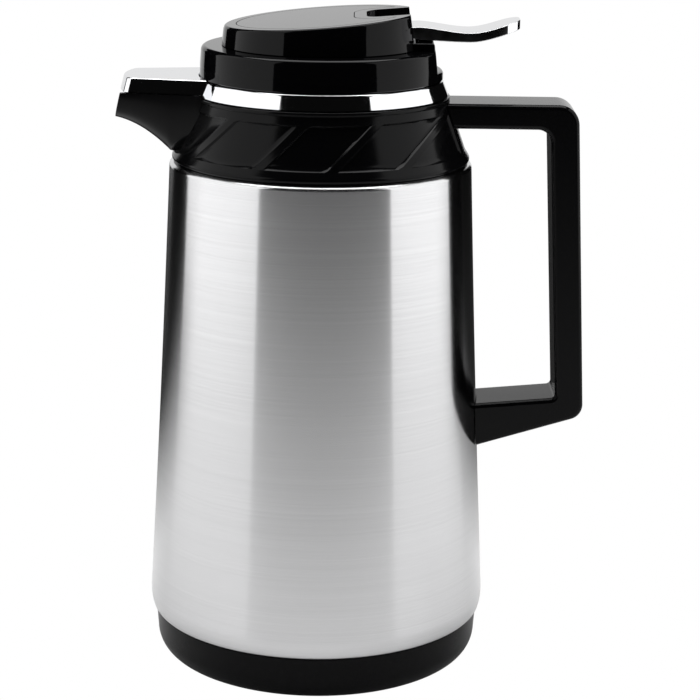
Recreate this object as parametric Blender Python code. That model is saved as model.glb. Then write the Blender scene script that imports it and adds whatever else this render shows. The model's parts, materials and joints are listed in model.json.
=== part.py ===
"""Glass-lined thermal carafe with a press-lever pouring lid, in metres, +Z up.

The origin is on the body axis, level with the surface that the carafe stands on.
The spout points along -X and the handle along +X.
"""

import math

import bmesh
import bpy
from mathutils import Matrix, Vector

# Fits
SEAT_GAP = 0.0003
RUN_GAP = 0.0005
LARGE_FACETS = 48
MEDIUM_FACETS = 32
SMALL_FACETS = 18
PIN_FACETS = 10

# Brushed steel shell
SHELL_TOP_RADIUS = 0.06305
SHELL_FOOT_RADIUS = 0.07195
SHELL_WAIST = 0.00063
SHELL_WALL = 0.0008
SHELL_EDGE_HEIGHT = 0.0196
SHELL_CURL_HEIGHT = 0.0068
SHELL_CURL_INSET = 0.00175
SHELL_HEIGHT = 0.19415
SHELL_LIP_RADIUS = 0.00185

# Base cap
BASE_SIDE_INSET = 0.00115
BASE_FOOT_INSET = 0.00765
BASE_ROUND_HEIGHT = 0.0092
BASE_FOOT_WIDTH = 0.0045
BASE_WALL = 0.0025
BASE_FLOOR_LIFT = 0.003
BASE_SPIGOT_HEIGHT = 0.009
TOWER_RADIUS = 0.034
TOWER_WALL = 0.003
PLUG_SIDE_GAP = 0.0073
PLUG_FLANGE_WIDTH = 0.0033
PLUG_FLANGE_THICKNESS = 0.0027
PLUG_WALL = 0.0022
PLUG_GRIP_DEPTH = 0.0012

# Rubber cushion under the flask
CUSHION_LIFT = 0.0145
CUSHION_THICKNESS = 0.007
CUSHION_RADIUS = 0.036
CUSHION_BORE = 0.010

# Glass flask, two walls
GLASS_WALL = 0.0016
FLASK_SPACE = 0.0085
GLASS_DOME_HEIGHT = 0.028
GLASS_SHOULDER_HEIGHT = 0.028
GLASS_NECK_HEIGHT = 0.0075
GLASS_MOUTH_DROP = 0.0031
GLASS_NECK_RADIUS = 0.0246
GLASS_BORE_RADIUS = 0.0208
VACUUM_SPACE = 0.0035

# Neck insert and its gaskets
NECK_BORE = 0.026
NECK_WALL = 0.0026
NECK_RISE = 0.005
NECK_LEDGE_BORE = 0.0216
NECK_DEPTH = 0.020
NECK_LEDGE_THICKNESS = 0.0024
NECK_FLOOR_THICKNESS = 0.0025
GASKET_SKIRT = 0.0055
GASKET_WALL = 0.002

# Shoulder moulding
CONE_FOOT_INSET = 0.00315
CONE_FOOT_RISE = 0.00525
CONE_NARROWING = 0.0072
CONE_HEIGHT = 0.0204
SHOULDER_WALL = 0.0024
BEAD_RADIUS = 0.0017
BEAD_INSET = 0.00135
FLANGE_WIDTH = 0.0004
FLANGE_THICKNESS = 0.0018
FLANGE_RISE = 0.0020
SPIGOT_DEPTH = 0.0085
SPIGOT_WALL = 0.0026
UPSTAND_INSET = 0.0055
UPSTAND_WALL = 0.0014
UPSTAND_HEIGHT = 0.005
PAD_HALF_WIDTH = 0.0150

# Slanted panels sunk in the shoulder
PANEL_DEPTH = 0.0008
PANEL_FOOT_MARGIN = 0.0006
PANEL_TOP_MARGIN = 0.0033
PANEL_WIDTH = 0.0243
PANEL_RIB = 0.00463
PANEL_RIGHT_EDGE = 0.0028
PANEL_LEAN = 1.02

# Spout
SPOUT_LENGTH = 0.0293
SPOUT_TAPER_LENGTH = 0.0325
SPOUT_TIP_HALF = 0.0156
SPOUT_ROOT_HALF = 0.0216
SPOUT_TIP_BOW = 0.0003
SPOUT_TIP_SLANT = 0.23
SPOUT_ROUNDNESS = 2.6
SPOUT_WALL = 0.0024
SPOUT_LIP_THICKNESS = 0.0045
SPOUT_RIM_RISE = 0.0012
SPOUT_TIP_DEPTH = 0.0102
SPOUT_BEND_DEPTH = 0.0125
SPOUT_ROOT_DEPTH = 0.0242
SPOUT_ROOT_REACH = 0.0012
SPOUT_ROOT_DEEP = 0.0067
SPOUT_STATIONS = 9

# Chrome trim, the ring and the spout cover in one piece
RING_INSET = 0.0003
RING_DRAFT = 0.0020
RING_HEIGHT = 0.0064
RING_CROWN = 0.0012
COVER_HEIGHT = 0.0059
COVER_WALL = 0.0012
COVER_TIP_HALF = 0.0149
COVER_ROOT_HALF = 0.0213
COVER_DRAFT = 0.0007
COVER_BOW = 0.0029
COVER_CORNER = 0.0030
COVER_FRONT_SLANT = 0.0015
COVER_OVERHANG = 0.0007
NOTCH_ANGLE = 148.7
NOTCH_DEPTH = 0.0032
NOTCH_HALF_WIDTH = 0.0022

# Handle
HANDLE_HALF_WIDTH = 0.0130
HANDLE_DROP = 0.0019
ARM_HEIGHT = 0.0103
GRIP_THICKNESS = 0.0118
GRIP_REACH = 0.0529
GRIP_LEAN = 0.050
OUTER_CORNER_RADIUS = 0.0085
INNER_CORNER_RADIUS = 0.0055
LOWER_ARM_HEIGHT = 0.1030
LOWER_ARM_REACH = 0.0030
LOWER_ARM_TOP_RISE = 0.0090
LOWER_ARM_TOP_SLOPE = 0.09
LOWER_ARM_BOTTOM_DROP = 0.0098
LOWER_ARM_BOTTOM_SLOPE = 0.304
LOWER_CORNER_RADIUS = 0.0065
HANDLE_EDGE = 0.0024
TONGUE_HALF_WIDTH = 0.008
TONGUE_LENGTH = 0.0145
TONGUE_THICKNESS = 0.0034
TONGUE_DROP = 0.0063
UPPER_SCREW_REACH = 0.0088
UPPER_SCREW_RADIUS = 0.0016
UPPER_SCREW_HEAD_RADIUS = 0.0032
UPPER_SCREW_HEAD_HEIGHT = 0.0018
BRACKET_THICKNESS = 0.0015
BRACKET_HALF_ANGLE = 10.5
BRACKET_HALF_HEIGHT = 0.008
LOWER_SCREW_RADIUS = 0.0020
LOWER_SCREW_HEAD_RADIUS = 0.0038
LOWER_SCREW_HEAD_HEIGHT = 0.0024
LOWER_SCREW_LENGTH = 0.016

# Lid lower tier, with the raised platform under the lever
TIER_INSET = 0.0003
TIER_DRAFT = 0.0005
TIER_HEIGHT = 0.0129
TIER_EDGE = 0.0019
TIER_WALL = 0.0022
TIER_BORE = 0.012
REAR_LEDGE_RISE = 0.0036
REAR_LEDGE_EDGE = 0.0016
REAR_FLAT_DEPTH = 0.0039
REAR_FLAT_LEAN = 0.11
PLATFORM_RISE = 0.0032
PLATFORM_HALF_WIDTH = 0.0172
PLATFORM_EDGE = 0.0010

# Lid upper tier, with its slanted top
CAP_INSET = 0.0090
CAP_DRAFT = 0.0009
CAP_HEIGHT = 0.01115
CAP_TOP_SLOPE = 0.0835
CAP_EDGE = 0.0011
CAP_WALL = 0.0022
CAP_ROOF = 0.0034
CAP_FLAT_X = 0.0379
CAP_FLAT_LEAN = 0.14
SLOT_SIDE_GAP = 0.0012
SLOT_END_X = 0.0182
SLOT_CORNER = 0.0060
SLOT_WALL = 0.0020
SLOT_SILL = 0.0010
INLAY_INSET = 0.0052
INLAY_BORDER = 0.0052
INLAY_THICKNESS = 0.0011

# Thumb lever, a see-saw on its pin; rises and drops are from the pin's axis
PIVOT_X = 0.0430
PIVOT_LIFT = 0.0028
LEVER_HALF_WIDTH = 0.0120
LEVER_INNER_GAP = 0.0023
LEVER_INNER_RISE = 0.0023
LEVER_INNER_DROP = 0.0009
LEVER_FLAT_X = 0.0400
LEVER_FLAT_RISE = 0.0032
LEVER_FLAT_DROP = 0.0019
LEVER_FLAT_SLOPE = -0.05
LEVER_LOW_X = 0.0602
LEVER_LOW_RISE = 0.0010
LEVER_LOW_DROP = 0.0027
LEVER_TIP_X = 0.0809
LEVER_TIP_RISE = 0.0060
LEVER_TIP_THICKNESS = 0.0037
LEVER_TIP_SLOPE = 0.22
LEVER_TIP_ROUND = 0.0045
LEVER_INNER_ROUND = 0.0050
LEVER_PIN_RADIUS = 0.0010
LEVER_PIN_HALF_LENGTH = 0.0112
LEVER_TRAVEL = 6.0
EAR_RADIUS = 0.0017
EAR_NEAR = 0.0050
EAR_THICKNESS = 0.0025
EAR_ROOM = 0.0009
ARM_HALF_WIDTH = 0.0062
ARM_ROOT_X = 0.0300
ARM_TOP_DROP = 0.0039
ARM_THICKNESS = 0.0020
ARM_STEP_X = 0.0085
FORK_DROP = 0.0090
FORK_SLOT_HALF_WIDTH = 0.0030
FORK_END_X = -0.0035
FORK_SHIFT = 0.0005

# Stopper, valve and spring
STOPPER_WALL = 0.0030
STOPPER_FLOOR = 0.0025
STOPPER_SEAL_THICKNESS = 0.0020
STOPPER_FLANGE_RADIUS = 0.034
STOPPER_FLANGE_THICKNESS = 0.0025
WINDOW_COUNT = 5
WINDOW_HALF_WIDTH = 0.0065
WINDOW_LIFT = 0.0065
WINDOW_HEIGHT = 0.0130
GUIDE_LIFT = 0.0055
GUIDE_THICKNESS = 0.0025
PORT_RADIUS = 0.0095
SEAL_RADIUS = 0.0130
SEAL_THICKNESS = 0.0020
SEAL_BORE = 0.0033
DISC_THICKNESS = 0.0025
HUB_HEIGHT = 0.0050
DISC_HUB_RADIUS = 0.0048
STEM_RADIUS = 0.0022
STEM_PIN_RADIUS = 0.0010
STEM_PIN_DROP = 0.0068
SPRING_RADIUS = 0.0070
SPRING_WIRE = 0.0007
SPRING_TURNS = 7
SPRING_STEPS = 10
SPRING_SIDES = 5
LID_SCREW_RADIUS = 0.0015
LID_SCREW_HEAD_RADIUS = 0.0028
LID_SCREW_HEAD_HEIGHT = 0.0016
LID_SCREW_PLACES = ((0.018, 0.0235), (-0.021, 0.0205), (-0.021, -0.0205), (0.018, -0.0235))
LID_BOSS_RADIUS = 0.0032

# The jug, piece on piece from the floor up
BASE_TOP = SHELL_EDGE_HEIGHT - SEAT_GAP
BASE_SIDE_RADIUS = SHELL_FOOT_RADIUS - SHELL_CURL_INSET - BASE_SIDE_INSET
BASE_FOOT_RADIUS = BASE_SIDE_RADIUS - BASE_FOOT_INSET
SHELL_CURL_TOP = SHELL_EDGE_HEIGHT + SHELL_CURL_HEIGHT
SHELL_EDGE_RADIUS = SHELL_FOOT_RADIUS - SHELL_CURL_INSET
SHELL_RIM_HEIGHT = SHELL_EDGE_HEIGHT + SHELL_HEIGHT
SHELL_LIP_START = SHELL_RIM_HEIGHT - SHELL_LIP_RADIUS
SHELL_MOUTH_RADIUS = SHELL_TOP_RADIUS - SHELL_LIP_RADIUS
RIM_SEAT = SHELL_RIM_HEIGHT + SEAT_GAP
CONE_FOOT_HEIGHT = SHELL_RIM_HEIGHT + CONE_FOOT_RISE
CONE_FOOT_RADIUS = SHELL_TOP_RADIUS - CONE_FOOT_INSET
CONE_TOP_HEIGHT = CONE_FOOT_HEIGHT + CONE_HEIGHT
CONE_TOP_RADIUS = CONE_FOOT_RADIUS - CONE_NARROWING
SHOULDER_TOP = CONE_TOP_HEIGHT + FLANGE_RISE
BEAD_REACH = SHELL_TOP_RADIUS - BEAD_INSET
FLANGE_RADIUS = CONE_TOP_RADIUS + FLANGE_WIDTH
UPSTAND_RADIUS = CONE_TOP_RADIUS - UPSTAND_INSET
UPSTAND_BORE = UPSTAND_RADIUS - UPSTAND_WALL
PANEL_BOTTOM = CONE_FOOT_HEIGHT + PANEL_FOOT_MARGIN
PANEL_TOP = CONE_TOP_HEIGHT - PANEL_TOP_MARGIN
INSERT_LEDGE = CONE_FOOT_HEIGHT + SEAT_GAP
NECK_RADIUS = NECK_BORE + NECK_WALL
NECK_TOP = CONE_FOOT_HEIGHT + NECK_RISE
NECK_LEDGE_TOP = CONE_FOOT_HEIGHT - NECK_DEPTH
NECK_BOTTOM = NECK_LEDGE_TOP - NECK_LEDGE_THICKNESS
CUSHION_BOTTOM = BASE_FLOOR_LIFT + BASE_WALL + CUSHION_LIFT
GLASS_RADIUS = (SHELL_TOP_RADIUS + SHELL_FOOT_RADIUS) / 2 - FLASK_SPACE
GLASS_BOTTOM = CUSHION_BOTTOM + CUSHION_THICKNESS
GLASS_MOUTH = NECK_BOTTOM - GLASS_MOUTH_DROP
GLASS_NECK_BASE = GLASS_MOUTH - GLASS_NECK_HEIGHT
GLASS_BODY_TOP = GLASS_NECK_BASE - GLASS_SHOULDER_HEIGHT
PLUG_RADIUS = TOWER_RADIUS - TOWER_WALL - PLUG_SIDE_GAP
PLUG_FLANGE_RADIUS = PLUG_RADIUS + PLUG_FLANGE_WIDTH

# The spout, its cover and the handle
SPOUT_ROOT_X = -CONE_TOP_RADIUS + SPOUT_ROOT_DEEP
SPOUT_TIP_X = -CONE_TOP_RADIUS - SPOUT_LENGTH
SPOUT_TAPER_X = SPOUT_TIP_X + SPOUT_TAPER_LENGTH
SPOUT_RIM = SHOULDER_TOP + SPOUT_RIM_RISE
KEEL_ROOT_X = -CONE_FOOT_RADIUS - SPOUT_ROOT_REACH
KEEL_TIP_HEIGHT = SHOULDER_TOP - SPOUT_TIP_DEPTH
KEEL_BEND_HEIGHT = SHOULDER_TOP - SPOUT_BEND_DEPTH
KEEL_ROOT_HEIGHT = SHOULDER_TOP - SPOUT_ROOT_DEPTH
RING_BOTTOM = SHOULDER_TOP + SEAT_GAP
RING_TOP = RING_BOTTOM + RING_HEIGHT
RING_BORE = UPSTAND_RADIUS + SEAT_GAP
RING_BOTTOM_RADIUS = CONE_TOP_RADIUS - RING_INSET
RING_TOP_RADIUS = RING_BOTTOM_RADIUS - RING_DRAFT
COVER_FOOT = SPOUT_RIM + SEAT_GAP
COVER_TOP = COVER_FOOT + COVER_HEIGHT
HANDLE_TOP = SHOULDER_TOP - HANDLE_DROP
TONGUE_BOTTOM = HANDLE_TOP - TONGUE_DROP
UPPER_SCREW_X = CONE_TOP_RADIUS + UPPER_SCREW_REACH
GRIP_TOP_X = CONE_TOP_RADIUS + GRIP_REACH
LOWER_SCREW_HEIGHT = LOWER_ARM_HEIGHT
LOWER_ARM_X = SHELL_TOP_RADIUS + LOWER_ARM_REACH

# The lid and its stopper
TIER_BOTTOM = RING_TOP + SEAT_GAP
TIER_TOP = TIER_BOTTOM + TIER_HEIGHT
TIER_BOTTOM_RADIUS = RING_TOP_RADIUS - TIER_INSET
TIER_TOP_RADIUS = TIER_BOTTOM_RADIUS - TIER_DRAFT
REAR_LEDGE = TIER_BOTTOM + REAR_LEDGE_RISE
REAR_FLAT_X = TIER_BOTTOM_RADIUS - REAR_FLAT_DEPTH
PLATFORM_TOP = TIER_TOP + PLATFORM_RISE
CAP_BOTTOM = TIER_TOP + SEAT_GAP
CAP_BOTTOM_RADIUS = TIER_BOTTOM_RADIUS - CAP_INSET
CAP_TOP_RADIUS = CAP_BOTTOM_RADIUS - CAP_DRAFT
CAP_TOP_HEIGHT = CAP_BOTTOM + CAP_HEIGHT
CAP_WALL_INNER_X = CAP_FLAT_X - CAP_FLAT_LEAN * CAP_HEIGHT - CAP_WALL
SLOT_HALF_WIDTH = LEVER_HALF_WIDTH + SLOT_SIDE_GAP
INLAY_RADIUS = CAP_TOP_RADIUS - INLAY_INSET
PIVOT_Z = PLATFORM_TOP + PIVOT_LIFT
LEVER_INNER_X = SLOT_END_X + LEVER_INNER_GAP
LEVER_INNER_BOTTOM = PIVOT_Z - LEVER_INNER_DROP
EAR_FAR = EAR_NEAR + EAR_THICKNESS
ARM_TOP = PIVOT_Z - ARM_TOP_DROP
FORK_BOTTOM = PIVOT_Z - FORK_DROP
STEM_PIN_Z = PIVOT_Z - STEM_PIN_DROP
STOPPER_RADIUS = NECK_BORE - RUN_GAP
STOPPER_SEAL_BOTTOM = NECK_LEDGE_TOP + SEAT_GAP
STOPPER_BOTTOM = STOPPER_SEAL_BOTTOM + STOPPER_SEAL_THICKNESS + SEAT_GAP
STOPPER_TOP = TIER_TOP - TIER_WALL - SEAT_GAP
SEAT_HEIGHT = STOPPER_BOTTOM + STOPPER_FLOOR
SEAL_BOTTOM = SEAT_HEIGHT + SEAT_GAP
DISC_BOTTOM = SEAL_BOTTOM + SEAL_THICKNESS + SEAT_GAP
DISC_TOP = DISC_BOTTOM + DISC_THICKNESS
WINDOW_BOTTOM = CONE_FOOT_HEIGHT + WINDOW_LIFT
WINDOW_TOP = WINDOW_BOTTOM + WINDOW_HEIGHT
GUIDE_HEIGHT = WINDOW_TOP + GUIDE_LIFT


def clear_scene():
    for old in list(bpy.data.objects):
        bpy.data.objects.remove(old, do_unlink=True)


def linear(channel):
    value = channel / 255
    return value / 12.92 if value <= 0.04045 else ((value + 0.055) / 1.055) ** 2.4


def finish(name, hex_colour, roughness, metallic=0.0, transmission=0.0):
    """One plain material: colour as sRGB hex, roughness and metallic value."""
    made = bpy.data.materials.new(name)
    made.use_nodes = True
    shader = made.node_tree.nodes["Principled BSDF"]
    channels = [int(hex_colour[i : i + 2], 16) for i in (0, 2, 4)]
    shader.inputs["Base Color"].default_value = [*map(linear, channels), 1.0]
    shader.inputs["Roughness"].default_value = roughness
    shader.inputs["Metallic"].default_value = metallic
    shader.inputs["Transmission Weight"].default_value = transmission
    return made


def object_from(name, mesh_builder, material=None, smooth_angle=35.0):
    """A named object from a filled bmesh, with its faces turned outwards."""
    bmesh.ops.remove_doubles(mesh_builder, verts=mesh_builder.verts, dist=1e-7)
    bmesh.ops.recalc_face_normals(mesh_builder, faces=mesh_builder.faces)
    mesh = bpy.data.meshes.new(name)
    mesh_builder.to_mesh(mesh)
    mesh_builder.free()
    mesh.shade_smooth()
    mesh.set_sharp_from_angle(angle=math.radians(smooth_angle))
    made = bpy.data.objects.new(name, mesh)
    bpy.context.scene.collection.objects.link(made)
    if material:
        mesh.materials.append(material)
    return made


def arc(centre, radius, start, end, steps):
    """Points on an arc in the (radius, height) plane, angles in degrees."""
    across, up = (radius, radius) if isinstance(radius, float) else radius
    points = []
    for step in range(steps + 1):
        angle = math.radians(start + (end - start) * step / steps)
        points.append((centre[0] + across * math.cos(angle), centre[1] + up * math.sin(angle)))
    return points


def turned(name, outline, material=None, facets=LARGE_FACETS, smooth_angle=35.0):
    """A closed (radius, height) outline turned about the Z axis."""
    builder = bmesh.new()
    corners = [builder.verts.new((radius, 0, height)) for radius, height in outline]
    edges = [builder.edges.new((a, b)) for a, b in zip(corners, corners[1:])]
    if min(outline[0][0], outline[-1][0]) > 0:
        edges.append(builder.edges.new((corners[-1], corners[0])))
    bmesh.ops.spin(
        builder, geom=corners + edges, cent=(0, 0, 0), axis=(0, 0, 1),
        angle=2 * math.pi, steps=facets, use_merge=True,
    )
    return object_from(name, builder, material, smooth_angle)


def lofted(name, sections, material=None, smooth_angle=35.0):
    """Closed sections with equal point counts, skinned in order and capped at both ends."""
    builder = bmesh.new()
    loops = [[builder.verts.new(point) for point in section] for section in sections]
    for near, far in zip(loops, loops[1:]):
        for i in range(len(near)):
            j = (i + 1) % len(near)
            builder.faces.new((near[i], near[j], far[j], far[i]))
    builder.faces.new(loops[0])
    builder.faces.new(loops[-1])
    return object_from(name, builder, material, smooth_angle)


def block(name, low, high, material=None):
    """A box between two corners."""
    corners = [
        [(x, y, z) for x, y in ((low[0], low[1]), (high[0], low[1]), (high[0], high[1]), (low[0], high[1]))]
        for z in (low[2], high[2])
    ]
    return lofted(name, corners, material)


def side_prism(name, outline, half_width, material=None):
    """An (x, z) outline extruded to both sides of the XZ plane."""
    sections = [[(x, side * half_width, z) for x, z in outline] for side in (-1, 1)]
    return lofted(name, sections, material)


def rod(name, start, end, radius, material=None, facets=PIN_FACETS):
    """A round bar between two points."""
    builder = bmesh.new()
    span = Vector(end) - Vector(start)
    turn = span.to_track_quat("Z", "Y").to_matrix().to_4x4()
    place = Matrix.Translation((Vector(start) + Vector(end)) / 2) @ turn
    bmesh.ops.create_cone(
        builder, cap_ends=True, segments=facets, radius1=radius, radius2=radius,
        depth=span.length, matrix=place,
    )
    return object_from(name, builder, material)


def combine(target, operation, *others):
    """Adds or takes away other solids, which then stay as hidden guides."""
    for other in others:
        change = target.modifiers.new(other.name, "BOOLEAN")
        change.operation = operation
        change.solver = "EXACT"
        change.object = other
        other.hide_render = True
        other.display_type = "WIRE"
    return target


def cut(target, *cutters):
    return combine(target, "DIFFERENCE", *cutters)


def join(target, *others):
    return combine(target, "UNION", *others)


def shell_radius(height):
    """Outer radius of the steel shell, slightly waisted between its two ends."""
    share = (height - SHELL_CURL_TOP) / (SHELL_LIP_START - SHELL_CURL_TOP)
    straight = SHELL_FOOT_RADIUS + (SHELL_TOP_RADIUS - SHELL_FOOT_RADIUS) * share
    return straight - SHELL_WAIST * 4 * share * (1 - share)


def cone_radius(height):
    """Outer radius of the shoulder cone."""
    share = (height - CONE_FOOT_HEIGHT) / (CONE_TOP_HEIGHT - CONE_FOOT_HEIGHT)
    return CONE_FOOT_RADIUS + (CONE_TOP_RADIUS - CONE_FOOT_RADIUS) * share


def cap_plane(x, depth=0.0):
    """Height of the slanted lid top above a point, less a depth."""
    return CAP_TOP_HEIGHT + CAP_TOP_SLOPE * x - depth


def make_steel_shell(steel):
    """Tapered tube, curled in at the foot and at the mouth, with the lower handle hole."""
    levels = [SHELL_CURL_TOP + (SHELL_LIP_START - SHELL_CURL_TOP) * i / 4 for i in range(5)]
    curl = arc((SHELL_EDGE_RADIUS, SHELL_CURL_TOP), (SHELL_CURL_INSET, SHELL_CURL_HEIGHT), -90, 0, 5)
    lip_centre = (SHELL_MOUTH_RADIUS, SHELL_LIP_START)
    outer = curl[:-1] + [(shell_radius(z), z) for z in levels]
    outer += arc(lip_centre, SHELL_LIP_RADIUS, 0, 90, 4)[1:]
    inner = arc(lip_centre, SHELL_LIP_RADIUS - SHELL_WALL, 90, 0, 3)
    inner += [(shell_radius(z) - SHELL_WALL, z) for z in reversed(levels[:-1])]
    inner.append((SHELL_EDGE_RADIUS - SHELL_WALL, SHELL_EDGE_HEIGHT))
    shell = turned("steel_shell", outer + inner, steel)
    hole = rod(
        "shell_screw_hole", (SHELL_TOP_RADIUS - 0.01, 0, LOWER_SCREW_HEIGHT),
        (SHELL_FOOT_RADIUS + 0.01, 0, LOWER_SCREW_HEIGHT), LOWER_SCREW_RADIUS + SEAT_GAP,
    )
    return cut(shell, hole)


def make_base(black):
    """Moulded foot cap: rounded outer edge, spigot inside the shell, tower for the cushion."""
    spigot = SHELL_EDGE_RADIUS - SHELL_WALL - SEAT_GAP
    floor_top = BASE_FLOOR_LIFT + BASE_WALL
    foot_inner = BASE_FOOT_RADIUS - BASE_FOOT_WIDTH
    rounding = arc(
        (BASE_FOOT_RADIUS, BASE_ROUND_HEIGHT),
        (BASE_SIDE_RADIUS - BASE_FOOT_RADIUS, BASE_ROUND_HEIGHT), -90, 0, 6,
    )
    outline = rounding + [
        (SHELL_EDGE_RADIUS - SEAT_GAP, BASE_TOP),
        (spigot, BASE_TOP),
        (spigot, BASE_TOP + BASE_SPIGOT_HEIGHT),
        (spigot - BASE_WALL, BASE_TOP + BASE_SPIGOT_HEIGHT),
        (BASE_SIDE_RADIUS - BASE_WALL, BASE_ROUND_HEIGHT + BASE_WALL),
        (BASE_FOOT_RADIUS, floor_top),
        (TOWER_RADIUS, floor_top),
        (TOWER_RADIUS, CUSHION_BOTTOM - SEAT_GAP),
        (TOWER_RADIUS - TOWER_WALL, CUSHION_BOTTOM - SEAT_GAP),
        (TOWER_RADIUS - TOWER_WALL, floor_top),
        (PLUG_RADIUS + SEAT_GAP, floor_top),
        (PLUG_RADIUS + SEAT_GAP, BASE_FLOOR_LIFT),
        (foot_inner, BASE_FLOOR_LIFT),
        (foot_inner + BASE_FLOOR_LIFT / 2, 0),
    ]
    return turned("base_cap", outline, black)


def make_base_plug(black):
    """Screw-in plug that bears on the cushion, with two finger pockets in its face."""
    flange_top = BASE_FLOOR_LIFT - SEAT_GAP
    flange_bottom = flange_top - PLUG_FLANGE_THICKNESS
    top = CUSHION_BOTTOM - SEAT_GAP
    outline = [
        (0, flange_bottom),
        (PLUG_FLANGE_RADIUS, flange_bottom),
        (PLUG_FLANGE_RADIUS, flange_top),
        (PLUG_RADIUS, flange_top),
        (PLUG_RADIUS, top),
        (PLUG_RADIUS - PLUG_WALL, top),
        (PLUG_RADIUS - PLUG_WALL, flange_top + PLUG_WALL),
        (0, flange_top + PLUG_WALL),
    ]
    plug = turned("base_plug", outline, black, MEDIUM_FACETS)
    bar = PLUG_WALL
    for side, word in ((-1, "left"), (1, "right")):
        pocket = []
        reach = PLUG_RADIUS - PLUG_WALL
        start = math.degrees(math.asin(bar / reach))
        rim = arc((0, 0), reach, start, 180 - start, 10)
        for height in (flange_bottom - PLUG_GRIP_DEPTH, flange_bottom + PLUG_GRIP_DEPTH):
            pocket.append([(x, side * y, height) for x, y in rim])
        cut(plug, lofted("plug_pocket_" + word, pocket))
    return plug


def dome_height(radius):
    """Height of the outside of the flask's rounded bottom."""
    return GLASS_BOTTOM + GLASS_DOME_HEIGHT * (1 - math.sqrt(1 - (radius / GLASS_RADIUS) ** 2))


def make_cushion(rubber):
    """Rubber ring dished to the bottom of the flask."""
    steps = 5
    radii = [CUSHION_RADIUS + (CUSHION_BORE - CUSHION_RADIUS) * i / steps for i in range(steps + 1)]
    top = [(radius, dome_height(radius) - SEAT_GAP) for radius in radii]
    outline = [(CUSHION_BORE, CUSHION_BOTTOM), (CUSHION_RADIUS, CUSHION_BOTTOM)] + top
    return turned("flask_cushion", outline, rubber, MEDIUM_FACETS)


def flask_wall(inset, neck_radius, steps):
    """One surface of the flask from the pole to the mouth, inset from the outermost one."""
    radius = GLASS_RADIUS - inset
    centre_height = GLASS_BOTTOM + GLASS_DOME_HEIGHT
    dome = arc((0, centre_height), (radius, GLASS_DOME_HEIGHT - inset), -90, 0, steps)
    dome[0] = (0, dome[0][1])
    reach = radius - neck_radius
    rise = GLASS_NECK_BASE - GLASS_BODY_TOP - inset
    shoulder = arc((neck_radius, GLASS_BODY_TOP), (reach, rise), 0, 82, steps)
    return dome + shoulder + [(neck_radius, GLASS_NECK_BASE), (neck_radius, GLASS_MOUTH)]


def make_glass(glass):
    """The two glass walls, which meet at the mouth."""
    outer_inset = GLASS_WALL
    inner_inset = GLASS_WALL + VACUUM_SPACE
    outer = flask_wall(0, GLASS_NECK_RADIUS, 5)
    lining = flask_wall(outer_inset, GLASS_NECK_RADIUS - GLASS_WALL / 2, 5)
    outer_wall = turned("glass_outer", outer + lining[::-1], glass, MEDIUM_FACETS)
    inner_neck = GLASS_NECK_RADIUS - GLASS_WALL / 2 - SEAT_GAP
    inner = flask_wall(inner_inset, inner_neck, 5)
    surface = flask_wall(inner_inset + GLASS_WALL, GLASS_BORE_RADIUS, 5)
    inner_wall = turned("glass_inner", inner + surface[::-1], glass, MEDIUM_FACETS)
    return outer_wall, inner_wall


def make_neck_gasket(rubber):
    """Silicone ring between the mouth of the flask and the neck insert."""
    bottom = GLASS_MOUTH + SEAT_GAP
    skirt = GLASS_NECK_RADIUS + SEAT_GAP
    outline = [
        (GLASS_BORE_RADIUS, bottom),
        (skirt, bottom),
        (skirt, bottom - GASKET_SKIRT),
        (skirt + GASKET_WALL, bottom - GASKET_SKIRT),
        (skirt + GASKET_WALL, NECK_BOTTOM - SEAT_GAP),
        (GLASS_BORE_RADIUS, NECK_BOTTOM - SEAT_GAP),
    ]
    return turned("neck_gasket", outline, rubber, MEDIUM_FACETS)


def make_neck_insert(black):
    """Floor of the pouring bowl with the collar that the stopper screws into."""
    reach = CONE_FOOT_RADIUS - SHOULDER_WALL + SPIGOT_WALL / 4
    floor_top = CONE_FOOT_HEIGHT
    floor_bottom = floor_top - NECK_FLOOR_THICKNESS
    outline = [
        (reach, floor_top),
        (NECK_RADIUS, floor_top),
        (NECK_RADIUS, NECK_TOP),
        (NECK_BORE, NECK_TOP),
        (NECK_BORE, NECK_LEDGE_TOP),
        (NECK_LEDGE_BORE, NECK_LEDGE_TOP),
        (NECK_LEDGE_BORE, NECK_BOTTOM),
        (NECK_RADIUS, NECK_BOTTOM),
        (NECK_RADIUS, floor_bottom),
        (reach, floor_bottom),
    ]
    return turned("neck_insert", outline, black, MEDIUM_FACETS)


def keel_height(x):
    """Underside of the spout on its centre line: a parabola from the tip to the root."""
    share = min(1.0, max(0.0, (x - SPOUT_TIP_X) / (KEEL_ROOT_X - SPOUT_TIP_X)))
    near = KEEL_TIP_HEIGHT + (KEEL_BEND_HEIGHT - KEEL_TIP_HEIGHT) * share
    far = KEEL_BEND_HEIGHT + (KEEL_ROOT_HEIGHT - KEEL_BEND_HEIGHT) * share
    return near + (far - near) * share


def spout_section(x, half_width, top, bottom, bow, slant, steps=7):
    """A U-shaped section; bow and slant lean it where the tip isn't square."""
    points = []
    for step in range(-steps, steps + 1):
        angle = math.pi / 2 * step / steps
        across = math.copysign(abs(math.sin(angle)) ** (2 / SPOUT_ROUNDNESS), step)
        down = math.cos(angle) ** (2 / SPOUT_ROUNDNESS) if abs(step) < steps else 0.0
        y = half_width * across
        z = top - (top - bottom) * down
        points.append((x + bow * across**2 - slant * (top - z), y, z))
    return points


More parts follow.
